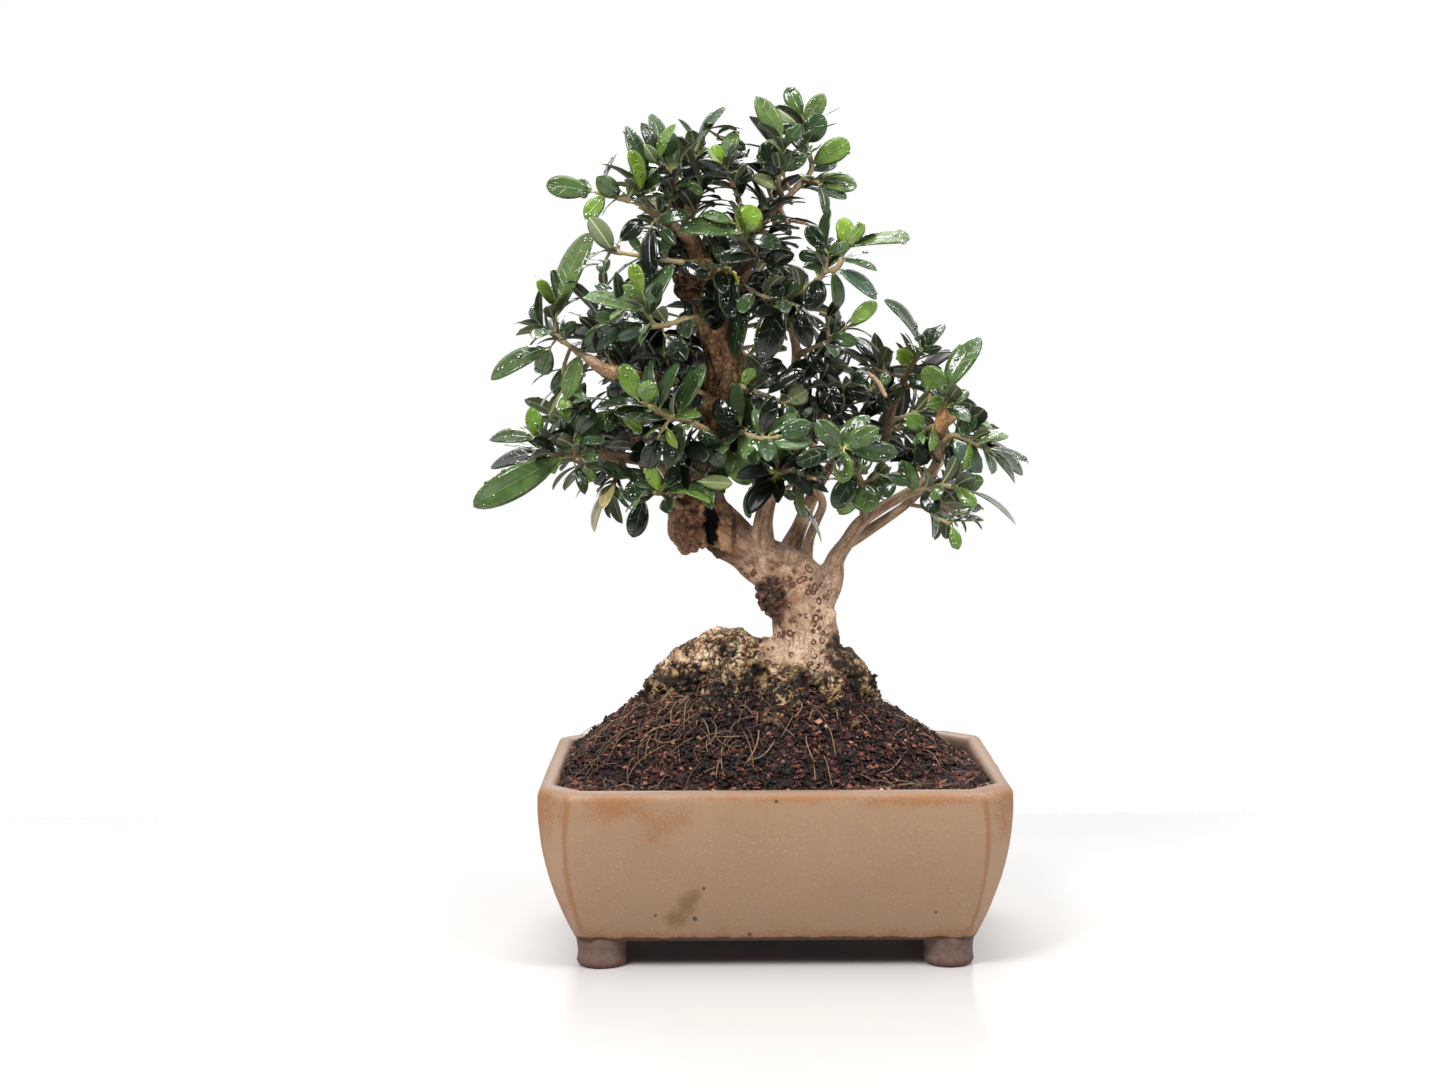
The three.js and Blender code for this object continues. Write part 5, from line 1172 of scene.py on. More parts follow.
# %% Rows of the sprays
SPRAYS = named("""
left_tip: 3 / -72 233.5 -7 2, -80 239 -6 1.4, -86 243.5 -5 1.2, -93 247 -5 0.9 | -86 243.5 -5 0.9,
-87 256 -6 0.7 | -80 239 -6 1, -83 230 -8 0.8, -83 220 -9 0.7 / -84 248 -71 284 10 4, -88 239 -112 226 8 -4,
-88 239 -92 228 8 6, -78 235.5 -61 247 11 -8, -78 234 -82 218 8.5 -6, -83 232 -87 220 5 3,
-81 222 -72 214 6 4 / -88 255 -93 265 4.5 -3, -87.5 256 -94 267 3 4, -88 256 -88 269 2 0,
-87 255 -84 262 2.5 4, -87 243 -94.5 243 3 -6, -83 244 -78 249 5 -3, -83 222 -89 211 3 5,
-82 219 -82 209 6 -2;
low_left: 3 / -70 196 -6 1.8, -79 195.5 -10 1.4, -88 196.5 -12 1.1, -93 202 -13 0.9 | -79 195.5 -10 1,
-79 203 -13 0.8 / -83 194.5 -120 175.5 12.5 -6, -86 195 -112.5 190.5 6 5, -94 202 -113 202 6.5 4,
-92 203 -96.5 215 7 -2, -79 197 -86 209 11 5, -79 203 -71 214 8 -4, -76 201 -63 213 7 3 /
-92 195.5 -107 200 2 -4, -76 200 -66.5 201 4 -6, -75 191.5 -71 185 5 4, -86 198 -96 201.5 5 -8,
-77 197 -69 196 7 -9, -79 192 -75 180 4.5 -3;
dried_clump: 1 / -60 195 1 1.8, -61 190 -4 1.1, -64 183 -7 0.9 / -57 186 -68 192 6 -4,
-64 183 -72 165 3.5 3, -60 193 -58 205 6 -3, -61 190 -50 186 6 4 / -66 190 -71 184 5 4,
-64 183 -60 178 4 -3, -62 184 -67.5 174 5 -2;
left_mid: 2 / -57 226.5 -8 2.2, -59 221 -15 1.1, -62 214 -18 0.8 / -60 216 -62 226 9 -5,
-59 219 -52 210 6 3 / -61 214 -66 205 6 -3;
shoot_a: 0 / -23 203 0 3, -28 206.5 -16 1.5, -33 209 -20 1.4, -40 211 -24 1.3, -45 213 -27 1.2,
-50 216 -29 1 | -40 211 -24 0.9, -45 204 -25 0.8 / -53 217 -59.5 232 8 -2, -51 215.5 -49 225.5 8 -5,
-48 214 -71 214.5 3.5 2, -40 209.5 -63 212.5 6.5 -8, -44 215 -37 232 5.5 -3, -37 213 -27 232.5 8.5 4,
-36 213 -39 223 6 6, -36.5 207 -42 190 8 -3, -28 206.5 -20 190.5 9.5 -3, -30 203 -38 190.5 8 3,
-46 203 -50 190 8 2 / -40 210.5 -28 211 4 -7, -31 213 -29 220 6 5;
centre_low: 0 / -20 211 0 2.8, -15 206 -13 1.4, -8 203 -20 1.2, -2 202 -25 1, 4 203 -28 0.8 | -15 205 -13 1,
-18 200 -15 0.8 | -8 203 -20 0.9, -6 196 -22 0.8 / -23 206 -3 214 9.5 -9, -15 205 -22 218 9 2,
-12 206 -6 192 9 -10, -19 199 -9 183.5 11 -3, -6 196 -5 180 6 2, -4 201 1 219 7 -4, 3 203 16 208 8 -3,
-3 199 16 200 6 -8, -3 200 8 193 6 4 / -3 203 -7 214 5 4;
centre_back: 0 / -19 223 0 3.2, -10 222 -9 1.3, -2 219 -11 1.1, 5 216 -12 0.9 / 4 214 14 221 9 3,
-7 226 4 233 7 -3, 4 214 11 206 6 -2 / -12 222 -7 230 6 -3, -12 218 0 227 4 -9;
shoot_b: 0 / -35 173 -3 2.6, -41 178 -12 1.4, -45 180.5 -16 1.1, -51 179 -18 0.9 / -45 181 -49.5 192 5.5 -2,
-46 180 -60 180 8 -5, -52 178 -56 162.5 8.5 -2, -40 178 -33 190 6 8 / -43 181 -35 184 3.5 3,
-43 183 -38 191 5 4, -44 178.5 -25 177 3 -6;
trunk_shoot: 0 / -26 187 2 4, -24 186.5 -10 1.3, -27 185.5 -17 0.9 / -30 185 -16 184 6 -6,
-26 188 -34 193 7 -2, -25 187 -16 190 7 3 / -26 186 -34 181 5 -4;
below_crown: 0 / 0 182 -8 2.2, 4 181.5 -14 1.1, 9 184 -17 0.9, 13 189 -19 0.8 | 5 182 -14.5 0.9,
-3 183.5 -16 0.9, -9 182 -17 0.8 / 4 180 19.5 160 3.5 -3, 13 190 12.5 170 4.5 -4 / -9 181 -9 170 3 -2,
7 182 11 187 4 4, 3 181 10 178 4 5;
shoot_c: 2 / -22 250 0 3.4, -34 249.5 -15 1.5, -42 247.5 -21 1.3, -51 246.5 -25 1 | -46 247 -23 1,
-50 253 -26 0.9, -51 259 -28 0.8 | -50 253 -26 0.8, -61 256 -27 0.7 / -51 252 -75 258 7.5 -6,
-51 259 -55 272 6 -2, -46 252 -39 271.5 5.5 3, -43 244 -34 233.5 9 -3 / -47 252 -48 260 5 -4,
-62 256 -62 268.5 4 2, -62 257 -70 264 4 5, -50 256 -59 263 5 -5, -60 252 -70 251 6 3, -50 245 -61 242 5 3;
high_left: 0 / -27 272 0 2.6, -34 272 -11 1.3, -50 274.5 -16 1.1, -66 277 -18 0.9 | -64 276.5 -18 0.8,
-67.5 270 -19 0.6 / -62 279 -72 290 8 -3, -61 280 -51 289 7 4, -50 273 -46 254 8 3, -36 272 -25 266 6 -5 /
-44 276 -40 284 5 3, -47 276 -55 268 5 4;
high_left_leaf: 0 / -40 287.3 -3 2, -44 289 -11 1.1, -47 288 -15 0.8 / -47 288 -47.5 266.5 7.5 -4,
-46 289 -32 291 5.5 -6 / -45 286 -38 279 5 2;
yellow_leaf: 0 / -26 266 0 2.4, -21 269 -10 1.1, -16 270 -13 0.8 / -21 272 -13 263.5 5.5 -3,
-21 267 -24 246 11 -5, -16 269 -17 250 8 3 / -18 271 -22 280 5 -2;
crown_middle: 0 / -9.5 271 4 2.2, -6 273.5 -9 1.2, -9 278 -13 1.1, -12 283 -16 1 | -6 273.5 -9 1,
2 271 -13 0.8 / -12 283 -6 294 11 -3, -9 283 4 279 6 -4, -3 274 9 275 7 -5, 2 270 2 256 7 -3,
-14 285 -37 285.5 8 3, -14 287 -28 291 4.5 6, 3 272 15 264 5 7 / -13 283.5 -17 296 3 3, 0 271 9 266 5 4,
-5 273.5 -20 272 4 -7;
crown_hanging: 2 / -14 262 6 2.6, -10 262 -7 1.2, -4 259 -14 1, 3 257 -17 0.9, 10 255 -18 0.8 /
-11 263 -2 259 7 -10, -11 260 -14 250 6.5 -2, -8 258 -15 234.5 7 3, 3 256 -4 232.5 12 -3,
10 255 15 238 8 -2 / ;
shoot_d: 2 / -44 290 -4 2.2, -51 295 -9 1.6, -51 302 -11 1.1 | -51 295 -9 1.2, -58 297 -12 1.1,
-70 300 -14 0.8 / -50 304 -57 326 7.5 3, -51 302 -56 316 6 -3, -70 299 -89 303 9 -3, -60 297 -69 306 8 -7,
-66 297 -74 290 7 -4 / -50 300 -44 306.5 4 -4, -50 298 -41 298 2.5 -3, -70 302 -76.5 304.5 4 5,
-66 301 -61 315 2 3, -51 301.5 -55 310 6 -6, -57 297 -53 305 6 5;
shoot_e: 2 / -32 293 2 1.8, -36 301 -4 1.3, -40 308 -7 1.1, -45 311 -9 1 / -45 313 -51 327 5.5 -3,
-43 313 -47 331 6.5 3, -45 312 -38 326.5 4.5 -3 / -46 311 -51 320 5 6, -42 310 -41 321 4 5,
-39 307 -48 307.5 3.5 -6, -36 305 -27 299 5 -7;
shoot_f: 2 / -31.5 299 2 1.8, -31 307 5 1.1, -30 315 6 0.9 | -30 315 6 0.7, -26 324 5 0.6, -20 321 3 0.6 /
-30 316 -18 333 4 -2 / -31 313 -41 323 3.5 3, -20 321 -10 316 4 -2, -31 305 -20 303 3 -4;
shoot_h: 2 / -5 283 2 1.9, -10 289 -4 1.2, -14 300 -8 1.1, -18 311 -12 0.8 / -16 305 -29 312 7 -4,
-16 306 -24.5 317 5 5 / -17 310 -2 311 3 -4, -18 311 -23 318 4 -3, -17 311 -14 319 4 3, -15 303 -7 308 6 5;
top_left_leaves: 1 / 5 296 2 1.8, 3 303 -4 1, 5 313 -5 0.9, 5 320 -6 0.8 / 5 321 -6 337 8.5 -2,
3 304 -3 319 9 -3, 3 300 -8 306 5 -4, 4 311 -2 320 7 4, 4 308 14 314 6 -4 / 5 318 12 326 5 -3;
top_right_leaves: 2 / 9.5 300.5 3 1.6, 16 308.5 6 1.1, 14 318 7 1, 13 328 7 0.8 | 12.5 304 4.3 1.1,
19 303 -3 0.9 / 13 328 6.5 340.5 7 2, 13.5 326 21 338 7.5 -2, 13 323 2 333 7 5, 13 318 20 330 10 -4,
15 312 5 326 6 -3, 15 310 31 319 9.5 -3, 14 303 34 302 7 -2, 10 299 30 297 4 -4 / 17 306 26 311 5 5;
shoot_i: 2 / 8 245 -2 2.2, 7 257 -8 1.5, 12 261 -14 1.4, 17 264 -18 1.3, 21 268 -20 1.2, 22 276 -22 1 |
21 268 -20 1.1, 26.5 270 -23 1.3, 29 278 -25 0.8 / 31 276 55 282 5.5 -3, 30 278 37 287 5.5 -3,
29 279 29 289.5 7 3, 22 278 23 293 4.5 2, 22 278 14 286 7 3, 20 266 16 253 9 -3, 24.5 268 27 254 5.5 3,
26 269 42 257.5 6.5 -3 / 24 275 31 279 5 6, 21 273 11 275 5 -4, 20 269 12.5 270 2.8 -3,
26 273 42 268.5 3.5 -4;
right_mid: 0 / 10 235 0 2.2, 16 238 -8 1.1, 23 241 -12 1, 31 247 -14 0.8 | 23 241 -12 0.8, 22 249 -15 0.7 /
30 248 42 256 6.5 -3, 23 243 34 240 6 -4, 15 238 20 228 6 -3 / 22 249 28 258 4 -3;
right_dark: 2 / 21.5 212 8 1.9, 20 222 1 1.2, 21 232 -3 1 | 20 222 1 0.9, 30 222 -4 0.8 / 20 232 6 227 9 -3,
19 226 27 211 12 -6, 28 221 40 219 7 -4, 30 222 39 229 6 3, 20 230 30 237 6 4 / ;
right_top: 3 / 51 221 22 1.9, 56 231 12 1.2, 60 237 8 0.9 | 53 226 17 1, 46 228 10 0.8, 40 230 7 0.7 /
57 232 50 237 8 -5, 58 238 45.5 257.5 3.5 -2, 60 236 65 246 6 3, 46 229 32 242 6 -3 / 40 230 33 226 5 3,
60 236 68 238 3.5 -3, 54 226 63 224 6 -5, 52 225 47 216 6 -4;
right_tall: 2 / 69 204 2 2, 69 212 0 1.2, 69 219 -2 1 | 69 209 1 0.9, 61 205 -4 0.8 / 70 220 83 242 9 3,
69 219.5 61 230 10 -4, 61 204 54 211 8 -3 / 70 212 78 220.5 3 -3, 70 214 79 209 3.5 -4,
70 213 89 205.5 2.5 4, 61 205 57 196 5 2, 69 217 62 215 6 4;
far_right: 2 / 67.5 198 2 2, 73 203 -6 1.2, 80 200 -10 0.9, 87 197 -12 0.8 / 71 204 84 188 9 -4,
76 203 101 187.5 6 5, 87 196 98 184 4.5 2, 70 201 72 186 6 -6 / 76 203 82 211 5 -2, 86 198 104 191 3 -3;
right_low: 2 / 52 178.5 2 2.4, 60 181 -9 1.2, 68 183 -13 1, 78 181 -16 0.8 | 60 181 -9 0.9, 64 172 -14 0.8,
72 167 -16 0.7 / 72 183 85 185 6 -3, 60 184 66 172 8 -7, 74 182 82 175 6 -4, 58 182 52 193 7 -2 /
69 183 64 177 5 4, 63 174 65 162 3 -3, 71 168 85 169 3 3, 78 181 98 167 2.5 2, 72 167 75 157 5 -2;
rosette: 2 / 14.5 195.8 -12 2, 22 197 -24 1.2, 29 198 -32 1.1 / 28 199 18 209 8.5 -3, 30 199 43 206 8 -2,
27 197 10 192 7 -4, 29 197 28.5 184 8 -3, 30 198 50.5 196 8.5 2, 29 199 36 210 8 5 / ;
rosette_low: 0 / 37 169.5 2 2.7, 37 177 -12 1.5, 36 184 -20 1.5, 33 190 -22 1.1 | 36 184 -20 0.9,
44 187 -22 0.8 / 32 188 25 174 9 -3, 35 184 40 172.5 12 -4, 35 181 27 171.5 6 4, 44 187 47 178 9 -2 /
33 190 24 190 5 4, 44 187 56 184 5 -3""")
print("sprays by eye:", len(SPRAYS))

# %% [markdown]
# ## Shoots by rule
# The back of the crown isn't in the photograph. There, shoots follow a gardener's rule: they grow out
# of a limb, bend up to the light, and bear leaves in opposite pairs, each pair turned on the last. Each
# entry holds where the shoot starts as seen, the way it heads, and its length.

# %% Where the shoots of the rule start
RULE_SHOOTS = named("""
back_high_end: -9 256 42, 0.15 0.7 0.7, 30;
back_high_left: -14 243 25, -0.7 0.7 0.35, 26;
back_high_right: -13 246 29, 0.85 0.45 0.15, 30;
back_high_low: -15 239 21, 0.35 0.9 -0.35, 28;
back_left_end: -47 229 43, -0.6 0.6 0.5, 28;
back_left_side: -36 219 30, -0.85 0.1 0.55, 30;
back_left_low: -42 225 37, 0.1 0.9 -0.2, 26;
back_right_end: 35 207.5 45, 0.3 0.6 0.7, 26;
back_right_side: 28 197 39, 0.9 0.4 0.2, 30;
back_right_inner: 21 187 31, -0.75 0.6 0.4, 26;
back_crown_end: -37.5 273 27, -0.35 0.5 0.8, 28;
back_crown_side: -34 267 21, 0.45 0.8 0.35, 26;
crown_back: -11 267.5 5, 0.25 0.85 0.5, 34;
crown_peak: -32.2 292 2, 0.15 0.75 0.75, 30;
low_right_end: 65 187 35, 0.5 0.6 0.6, 26;
low_right_side: 54 175.5 26, 0.75 0.45 -0.2, 28;
low_left_end: -67 194 39, -0.7 0.5 0.5, 28;
low_left_side: -53 187 29, -0.8 0.1 0.1, 30;
left_back: -60 227.8 -8, -0.35 0.85 0.45, 32;
right_back: 47.5 209 23.5, 0.65 0.7 0.1, 30;
low_back: -52 193.5 5, -0.15 0.3 0.95, 26""")
print("sprays by rule:", len(RULE_SHOOTS))

# %% [markdown]
# ## A leaf's place
# A leaf is a base, a tip, a width and the way its upper face looks. The eye gives only how wide a leaf
# looks. So a leaf that looks slimmer than its kind is turned about its midrib until it does. The solid
# model tried each leaf at several leans until it was clear of the others, and the same tries are made
# here in the same order.

# %% Leaf tries
BLADE_THICK, LEAF_SLIM, LEAF_WIDEST, ARCH = 0.64, 0.4, 12.5, 0.09
PETIOLE_REACH, TWIGLET_RADIUS, SEATED_SHARE = 3, 0.6, 0.15
LEANS, SHORTER, TURNS = [0, -4, 4, -8, 8, -12, 12, -16, 16], [1, 0.82], [0, 0.45, -0.45, 0.9, -0.9]
CROWN_MIDDLE, TO_LIGHT, PAIR_AXIS = np.array([-8.0, 0.0, 235.0]), 0.7, np.array([0.31, -0.42, 0.85])
RULE_LEAF, RULE_SPREAD, BARE_SHARE = (13, 21), (0.8, 1.2), 0.3


def leaf_between(base, tip, width, facing):
    """A leaf between two points, turned about its midrib so that it looks as wide as given."""
    length = np.linalg.norm(tip - base)
    along = (tip - base) / length
    normal = unit(facing - along * np.dot(facing, along))
    full = max(width, min(LEAF_SLIM * length, LEAF_WIDEST))
    roll = math.acos(min(1, width / full))
    rolled = [turned(normal, along, angle) for angle in (roll, -roll)]
    up = rolled[0] if rolled[0][2] >= rolled[1][2] else rolled[1]
    return {"base": base, "tip": tip, "width": full, "normal": up, "length": length}


def nearest_spot(twigs, across, height):
    """The nearest place on a spray's twigs to a spot as seen, and how far off it looks."""
    best = None
    for twig in twigs:
        for span in range(len(twig) - 1):
            a, b = np.array(twig[span], float), np.array(twig[span + 1], float)
            run = (b - a)[:2]
            square = run @ run or 1
            part = ((across - a[0]) * run[0] + (height - a[1]) * run[1]) / square
            spot = a + (b - a) * min(1, max(0 if span else SEATED_SHARE, part))
            gap = math.hypot(across - spot[0], height - spot[1])
            if best is None or gap < best[1]:
                best = (spot, gap)
    return best


def listed_leaf(twigs, row):
    """A leaf of the lists: its twiglet, if it starts off the twig, and the leans it may take."""
    base_x, base_z, tip_x, tip_z, width, lean = row
    spot, gap = nearest_spot(twigs, base_x, base_z)
    start = spot[:3]
    twiglet = None
    if gap > PETIOLE_REACH:
        start = np.array([base_x, base_z, spot[2] - 1])
        twiglet = [[*spot[:3], TWIGLET_RADIUS], [*start, TWIGLET_RADIUS]]
    base = place(start)
    facing = unit(EYE - base)
    tries = []
    for share in SHORTER:
        for more in LEANS:
            end = start + (np.array([tip_x, tip_z, start[2] + lean + more]) - start) * share
            tries.append(leaf_between(base, place(end), width, facing))
    return {"twiglet": twiglet, "tries": tries, "row": tuple(row[:4])}


def rule_leaf(base, along, turn, spread, length):
    """A leaf of the rule: it stands off a twig at an angle, its upper face to the light."""
    side = unit(np.cross(PAIR_AXIS, along))
    light = unit(base - CROWN_MIDDLE) * TO_LIGHT + UP
    tries = []
    for share in SHORTER:
        for more in TURNS:
            out = turned(side, along, turn + more)
            heading = along * math.cos(spread) + out * math.sin(spread)
            tries.append(leaf_between(base, base + heading * length * share, LEAF_SLIM * length, light))
    return {"twiglet": None, "tries": tries, "row": None}


def leaves_along(points, count, draw, longest=RULE_LEAF):
    """The rule's leaves along a row of points."""
    steps = [0.0, *np.cumsum([np.linalg.norm(b - a) for a, b in zip(points, points[1:])])]
    total = steps[-1]
    leaves = []
    for k in range(count):
        pair = k // 2 + 0.5 + 0.2 * next(draw)
        far = total * (BARE_SHARE + (1 - BARE_SHARE) * pair / math.ceil(count / 2))
        span = max(0, min(len(points) - 2, max(i for i, step in enumerate(steps) if step <= far)))
        along = unit(points[span + 1] - points[span])
        base = points[span] + along * (min(far, total) - steps[span])
        turn = math.pi * (k % 2) + math.pi / 2 * (k // 2) + 0.7 * (next(draw) - 0.5)
        spread = RULE_SPREAD[0] + (RULE_SPREAD[1] - RULE_SPREAD[0]) * next(draw)
        length = longest[0] + (longest[1] - longest[0]) * next(draw)
        leaves.append(rule_leaf(base, along, turn, spread, length))
    return leaves

# %% All twigs and leaf tries
LISTED_SEED, SHOOT_SEED = 7919, 104729
SHOOT_RADIUS, SHOOT_TAPER, SHOOT_RISE = 1.2, 0.18, 0.12
sprays = {}
for index, (name, text) in enumerate(SPRAYS.items()):
    filling, twig_rows, leaf_rows, small_rows = text.split("/")
    twigs = runs_of(twig_rows)
    draws = dice(LISTED_SEED * (index + 1))
    fill = leaves_along([place(spot) for spot in twigs[0][1:]], int(filling), draws)
    read = [listed_leaf(twigs, row) for row in rows_of(leaf_rows)]
    small = [listed_leaf(twigs, row) for row in rows_of(small_rows)]
    sprays[name] = {"twigs": twigs, "solid": read + fill, "extra": small}
for index, (name, text) in enumerate(RULE_SHOOTS.items()):
    draws = dice(SHOOT_SEED * (index + 1))
    seen_start, heading, (length,) = rows_of(text)
    start, ahead = place(seen_start), unit(np.array(heading))
    points = [start + ahead * share * length + UP * SHOOT_RISE * length * share**2 for share in (0, 0.5, 1)]
    row = [[*as_seen(point), SHOOT_RADIUS * (1 - SHOOT_TAPER * k)] for k, point in enumerate(points)]
    sprays[name] = {"twigs": [row], "solid": leaves_along(points, 6, draws), "extra": []}
print("leaf tries:", sum(len(leaf["tries"]) for spray in sprays.values() for leaf in spray["solid"]))

# %% [markdown]
# ## Which try the solid model took
# Each leaf of the solid model ends in two corners, half its thickness above and below the tip. If a
# try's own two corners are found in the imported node, that is where the leaf is.

# %% Find the taken tries
FOUND_WITHIN = 0.05
taken_leaves = 0
for name, spray in sprays.items():
    corner_tree = tree_of([vertex.co for vertex in frame["nodes"]["spray_" + name].data.vertices])
    spray["leaves"] = []
    for leaf in spray["solid"]:
        for choice in leaf["tries"]:
            half = choice["normal"] * BLADE_THICK / 2
            above, below = in_frame(choice["tip"] + half), in_frame(choice["tip"] - half)
            if max(corner_tree.find(above)[2], corner_tree.find(below)[2]) < FOUND_WITHIN * MM:
                spray["leaves"].append({**leaf, **choice})
                taken_leaves += 1
                break
print("leaves of the solid model found again:", taken_leaves)

# %% [markdown]
# ## Filling up the crown
# A living crown has more leaves than a solid model can carry: small young ones at the tips, and short
# shoots along every limb inside. Each extra leaf goes where it is at least a leaf's thickness clear of its
# neighbours. A few test points on every leaf, kept in a grid, make that quick.

# %% Extra leaves where there is room
CELL, LISTED_CLEAR, RULE_CLEAR, CLEAR_ENOUGH = 4.0, 1.0, 1.15, 1.8
INNER_SEED, EXTRA_SEED = 49979687, 15485863
room = {}


def cell_of(point):
    return tuple(int(math.floor(value / CELL)) for value in point)


def test_points(leaf):
    """Nine points on a blade, past the stretch where stalks meet."""
    side = np.cross(leaf["normal"], unit(leaf["tip"] - leaf["base"]))
    found = []
    for share, wide in ((0.3, 0.3), (0.5, 0.42), (0.72, 0.46), (0.93, 0.2)):
        middle = leaf["base"] + (leaf["tip"] - leaf["base"]) * share
        middle = middle + leaf["normal"] * 4 * ARCH * leaf["length"] * share * (1 - share)
        found += [middle + side * wide * leaf["width"], middle - side * wide * leaf["width"], middle]
    return found


def occupy(points):
    for point in points:
        room.setdefault(cell_of(point), []).append(point)


def clearance(points):
    """The least distance from points to anything placed so far, up to a cell's size."""
    least = CELL
    for point in points:
        x, y, z = cell_of(point)
        for a in (x - 1, x, x + 1):
            for b in (y - 1, y, y + 1):
                for c in (z - 1, z, z + 1):
                    for other in room.get((a, b, c), ()):
                        least = min(least, math.dist(point, other))
        least = min(least, 1.3 * wood_tree.find(point)[2])
    return least


INNER_STEP, INNER_LOWEST, INNER_REACH, INNER_LEAF = 6, 188, (8, 19), (13, 22)
inner = {"twigs": [], "extra": [], "leaves": []}
draws = dice(INNER_SEED)
for row in [TRUNK[12:], *LIMBS.values()]:
    path = curve_through(row, 1.5)
    for (spot, radius, _), (beyond, _, _) in zip(path[4:-2:INNER_STEP], path[5:-1:INNER_STEP]):
        across, height, depth = as_seen(spot)
        if height < INNER_LOWEST - 6 * (across > 38):
            continue
        onward = beyond - spot
        aside = turned(unit(np.cross(onward, PAIR_AXIS)), unit(onward), 2 * math.pi * next(draws))
        aside[2] = abs(aside[2])
        ahead = unit(aside + 0.5 * unit(spot - CROWN_MIDDLE) + 0.3 * UP)
        reach = radius + INNER_REACH[0] + (INNER_REACH[1] - INNER_REACH[0]) * next(draws)
        line = [spot + ahead * reach * share + UP * 0.1 * reach * share**2 for share in (0, 0.5, 1)]
        inner["twigs"].append([[*as_seen(point), 0.9 - 0.2 * k] for k, point in enumerate(line)])
        inner["extra"] += leaves_along(line, 6, draws, INNER_LEAF)
sprays["inner_shoots"] = inner
print("shoots inside the crown:", len(inner["twigs"]))

for spray in sprays.values():
    spray["paths"] = [curve_through(twig, 1.2) for twig in spray["twigs"]]
    for path in spray["paths"]:
        occupy([spot for spot, radius, position in path[4:]])
    for leaf in spray["leaves"]:
        occupy(test_points(leaf))
extra_count = 0
for number, (name, spray) in enumerate(sprays.items()):
    draws = dice(EXTRA_SEED * (number + 1))
    by_rule = name in RULE_SHOOTS
    line = [spot for spot, radius, position in spray["paths"][0][1 if by_rule else 4 :: 4]]
    more = leaves_along(line, 10 if by_rule else 6, draws, (10, 20)) if len(line) > 2 else []
    for other in spray["paths"][1:]:
        line = [spot for spot, radius, position in other[2::3]]
        if len(line) > 1:
            more += leaves_along(line, 4, draws, (9, 16))
    for leaf in spray["extra"] + more:
        best, best_gap = None, LISTED_CLEAR if leaf["row"] else RULE_CLEAR
        for choice in leaf["tries"]:
            gap = clearance(test_points(choice))
            if gap > best_gap:
                best, best_gap = choice, gap
            if gap > CLEAR_ENOUGH:
                break
        if best:
            spray["leaves"].append({**leaf, **best})
            occupy(test_points(best))
            extra_count += 1
print("extra leaves:", extra_count, "all leaves:", sum(len(spray["leaves"]) for spray in sprays.values()))

# %% [markdown]
# ## Which leaves are young, pale, turned over or in painted shade
# Most leaves are a deep wet green. Shoot tips are yellow-green, some leaves show their pale undersides,
# and inside the crown they are painted nearly black, as shade. Those that stand out are named by their row.

# %% Leaf looks and painted shade
DEEP = ["#2E4223", "#25371B", "#3B5029", "#1D2C16", "#485D34", "#334927"]
MIDDLING = ["#4A6232", "#566C3A", "#435A2E"]
YOUNG = ["#64802A", "#72902E", "#5A7828", "#6C8628"]
PALE = ["#5C7834", "#68843C", "#546E2E"]
UNDERSIDES = ["#707C48", "#646F40", "#7A8450", "#69764E"]
GREYISH = ["#455A48", "#4F6250", "#3C5040"]
# Painted shade: nearly black greens for leaves in the crown's shade.
PAINTED_SHADE_GREENS = ["#0B1608", "#0F1D0B", "#091206"]
OUTSTANDING = named("""
young: -88 255 -93 265, -92 203 -96.5 215, -53 217 -59.5 232, -45 181 -49.5 192, -51 259 -55 272,
-51 302 -56 316, -51 301.5 -55 310, -18 311 -23 318, -16 306 -24.5 317, 57 232 50 237, -12 283 -6 294;
yellow: -21 272 -13 263.5;
pale: -51 215.5 -49 225.5, 30 278 37 287, 30 248 42 256, 69 219.5 61 230, 72 167 75 157, 35 181 27 171.5,
15 310 31 319, -87.5 256 -94 267, -92 195.5 -107 200, -75 191.5 -71 185, -40 210.5 -28 211,
-44 178.5 -25 177, -50 256 -59 263, -45 312 -38 326.5, 70 213 89 205.5, -12 222 -7 230;
under: -83 222 -89 211, -81 222 -72 214, 4 214 14 221, -30 185 -16 184, -62 279 -72 290, -57 297 -53 305,
-46 311 -51 320, 3 300 -8 306, 4 311 -2 320, 13 323 2 333;
grey: 4 180 19.5 160, -50 245 -61 242, 26 269 42 257.5, 71 204 84 188, 54 226 63 224, 17 306 26 311,
40 230 33 226;
dark: -60 216 -62 226, -46 203 -50 190, -52 178 -56 162.5, -26 188 -34 193, -47 288 -47.5 266.5,
-50 273 -46 254, -61 280 -51 289, -42 310 -41 321, 20 266 16 253, 22 278 14 286, -66 190 -71 184;
middling: -84 248 -71 284, -83 194.5 -120 175.5, -14 285 -37 285.5, -70 299 -89 303, 70 220 83 242,
31 276 55 282, 5 321 -6 337, 13 328 6.5 340.5, 13.5 326 21 338, 14 303 34 302, -88 239 -112 226,
-51 252 -75 258;
dried: -62 184 -67.5 174, -64 183 -72 165""")
LOOKS = {tuple(row): look for look, text in OUTSTANDING.items() for row in rows_of(text)}
SHADES = {"young": YOUNG, "pale": PALE, "under": DEEP, "grey": GREYISH, "dark": PAINTED_SHADE_GREENS, "middling": MIDDLING,
    "deep": DEEP, "dried": ["#857C50", "#8E7E56"], "yellow": ["#A8A820"]}


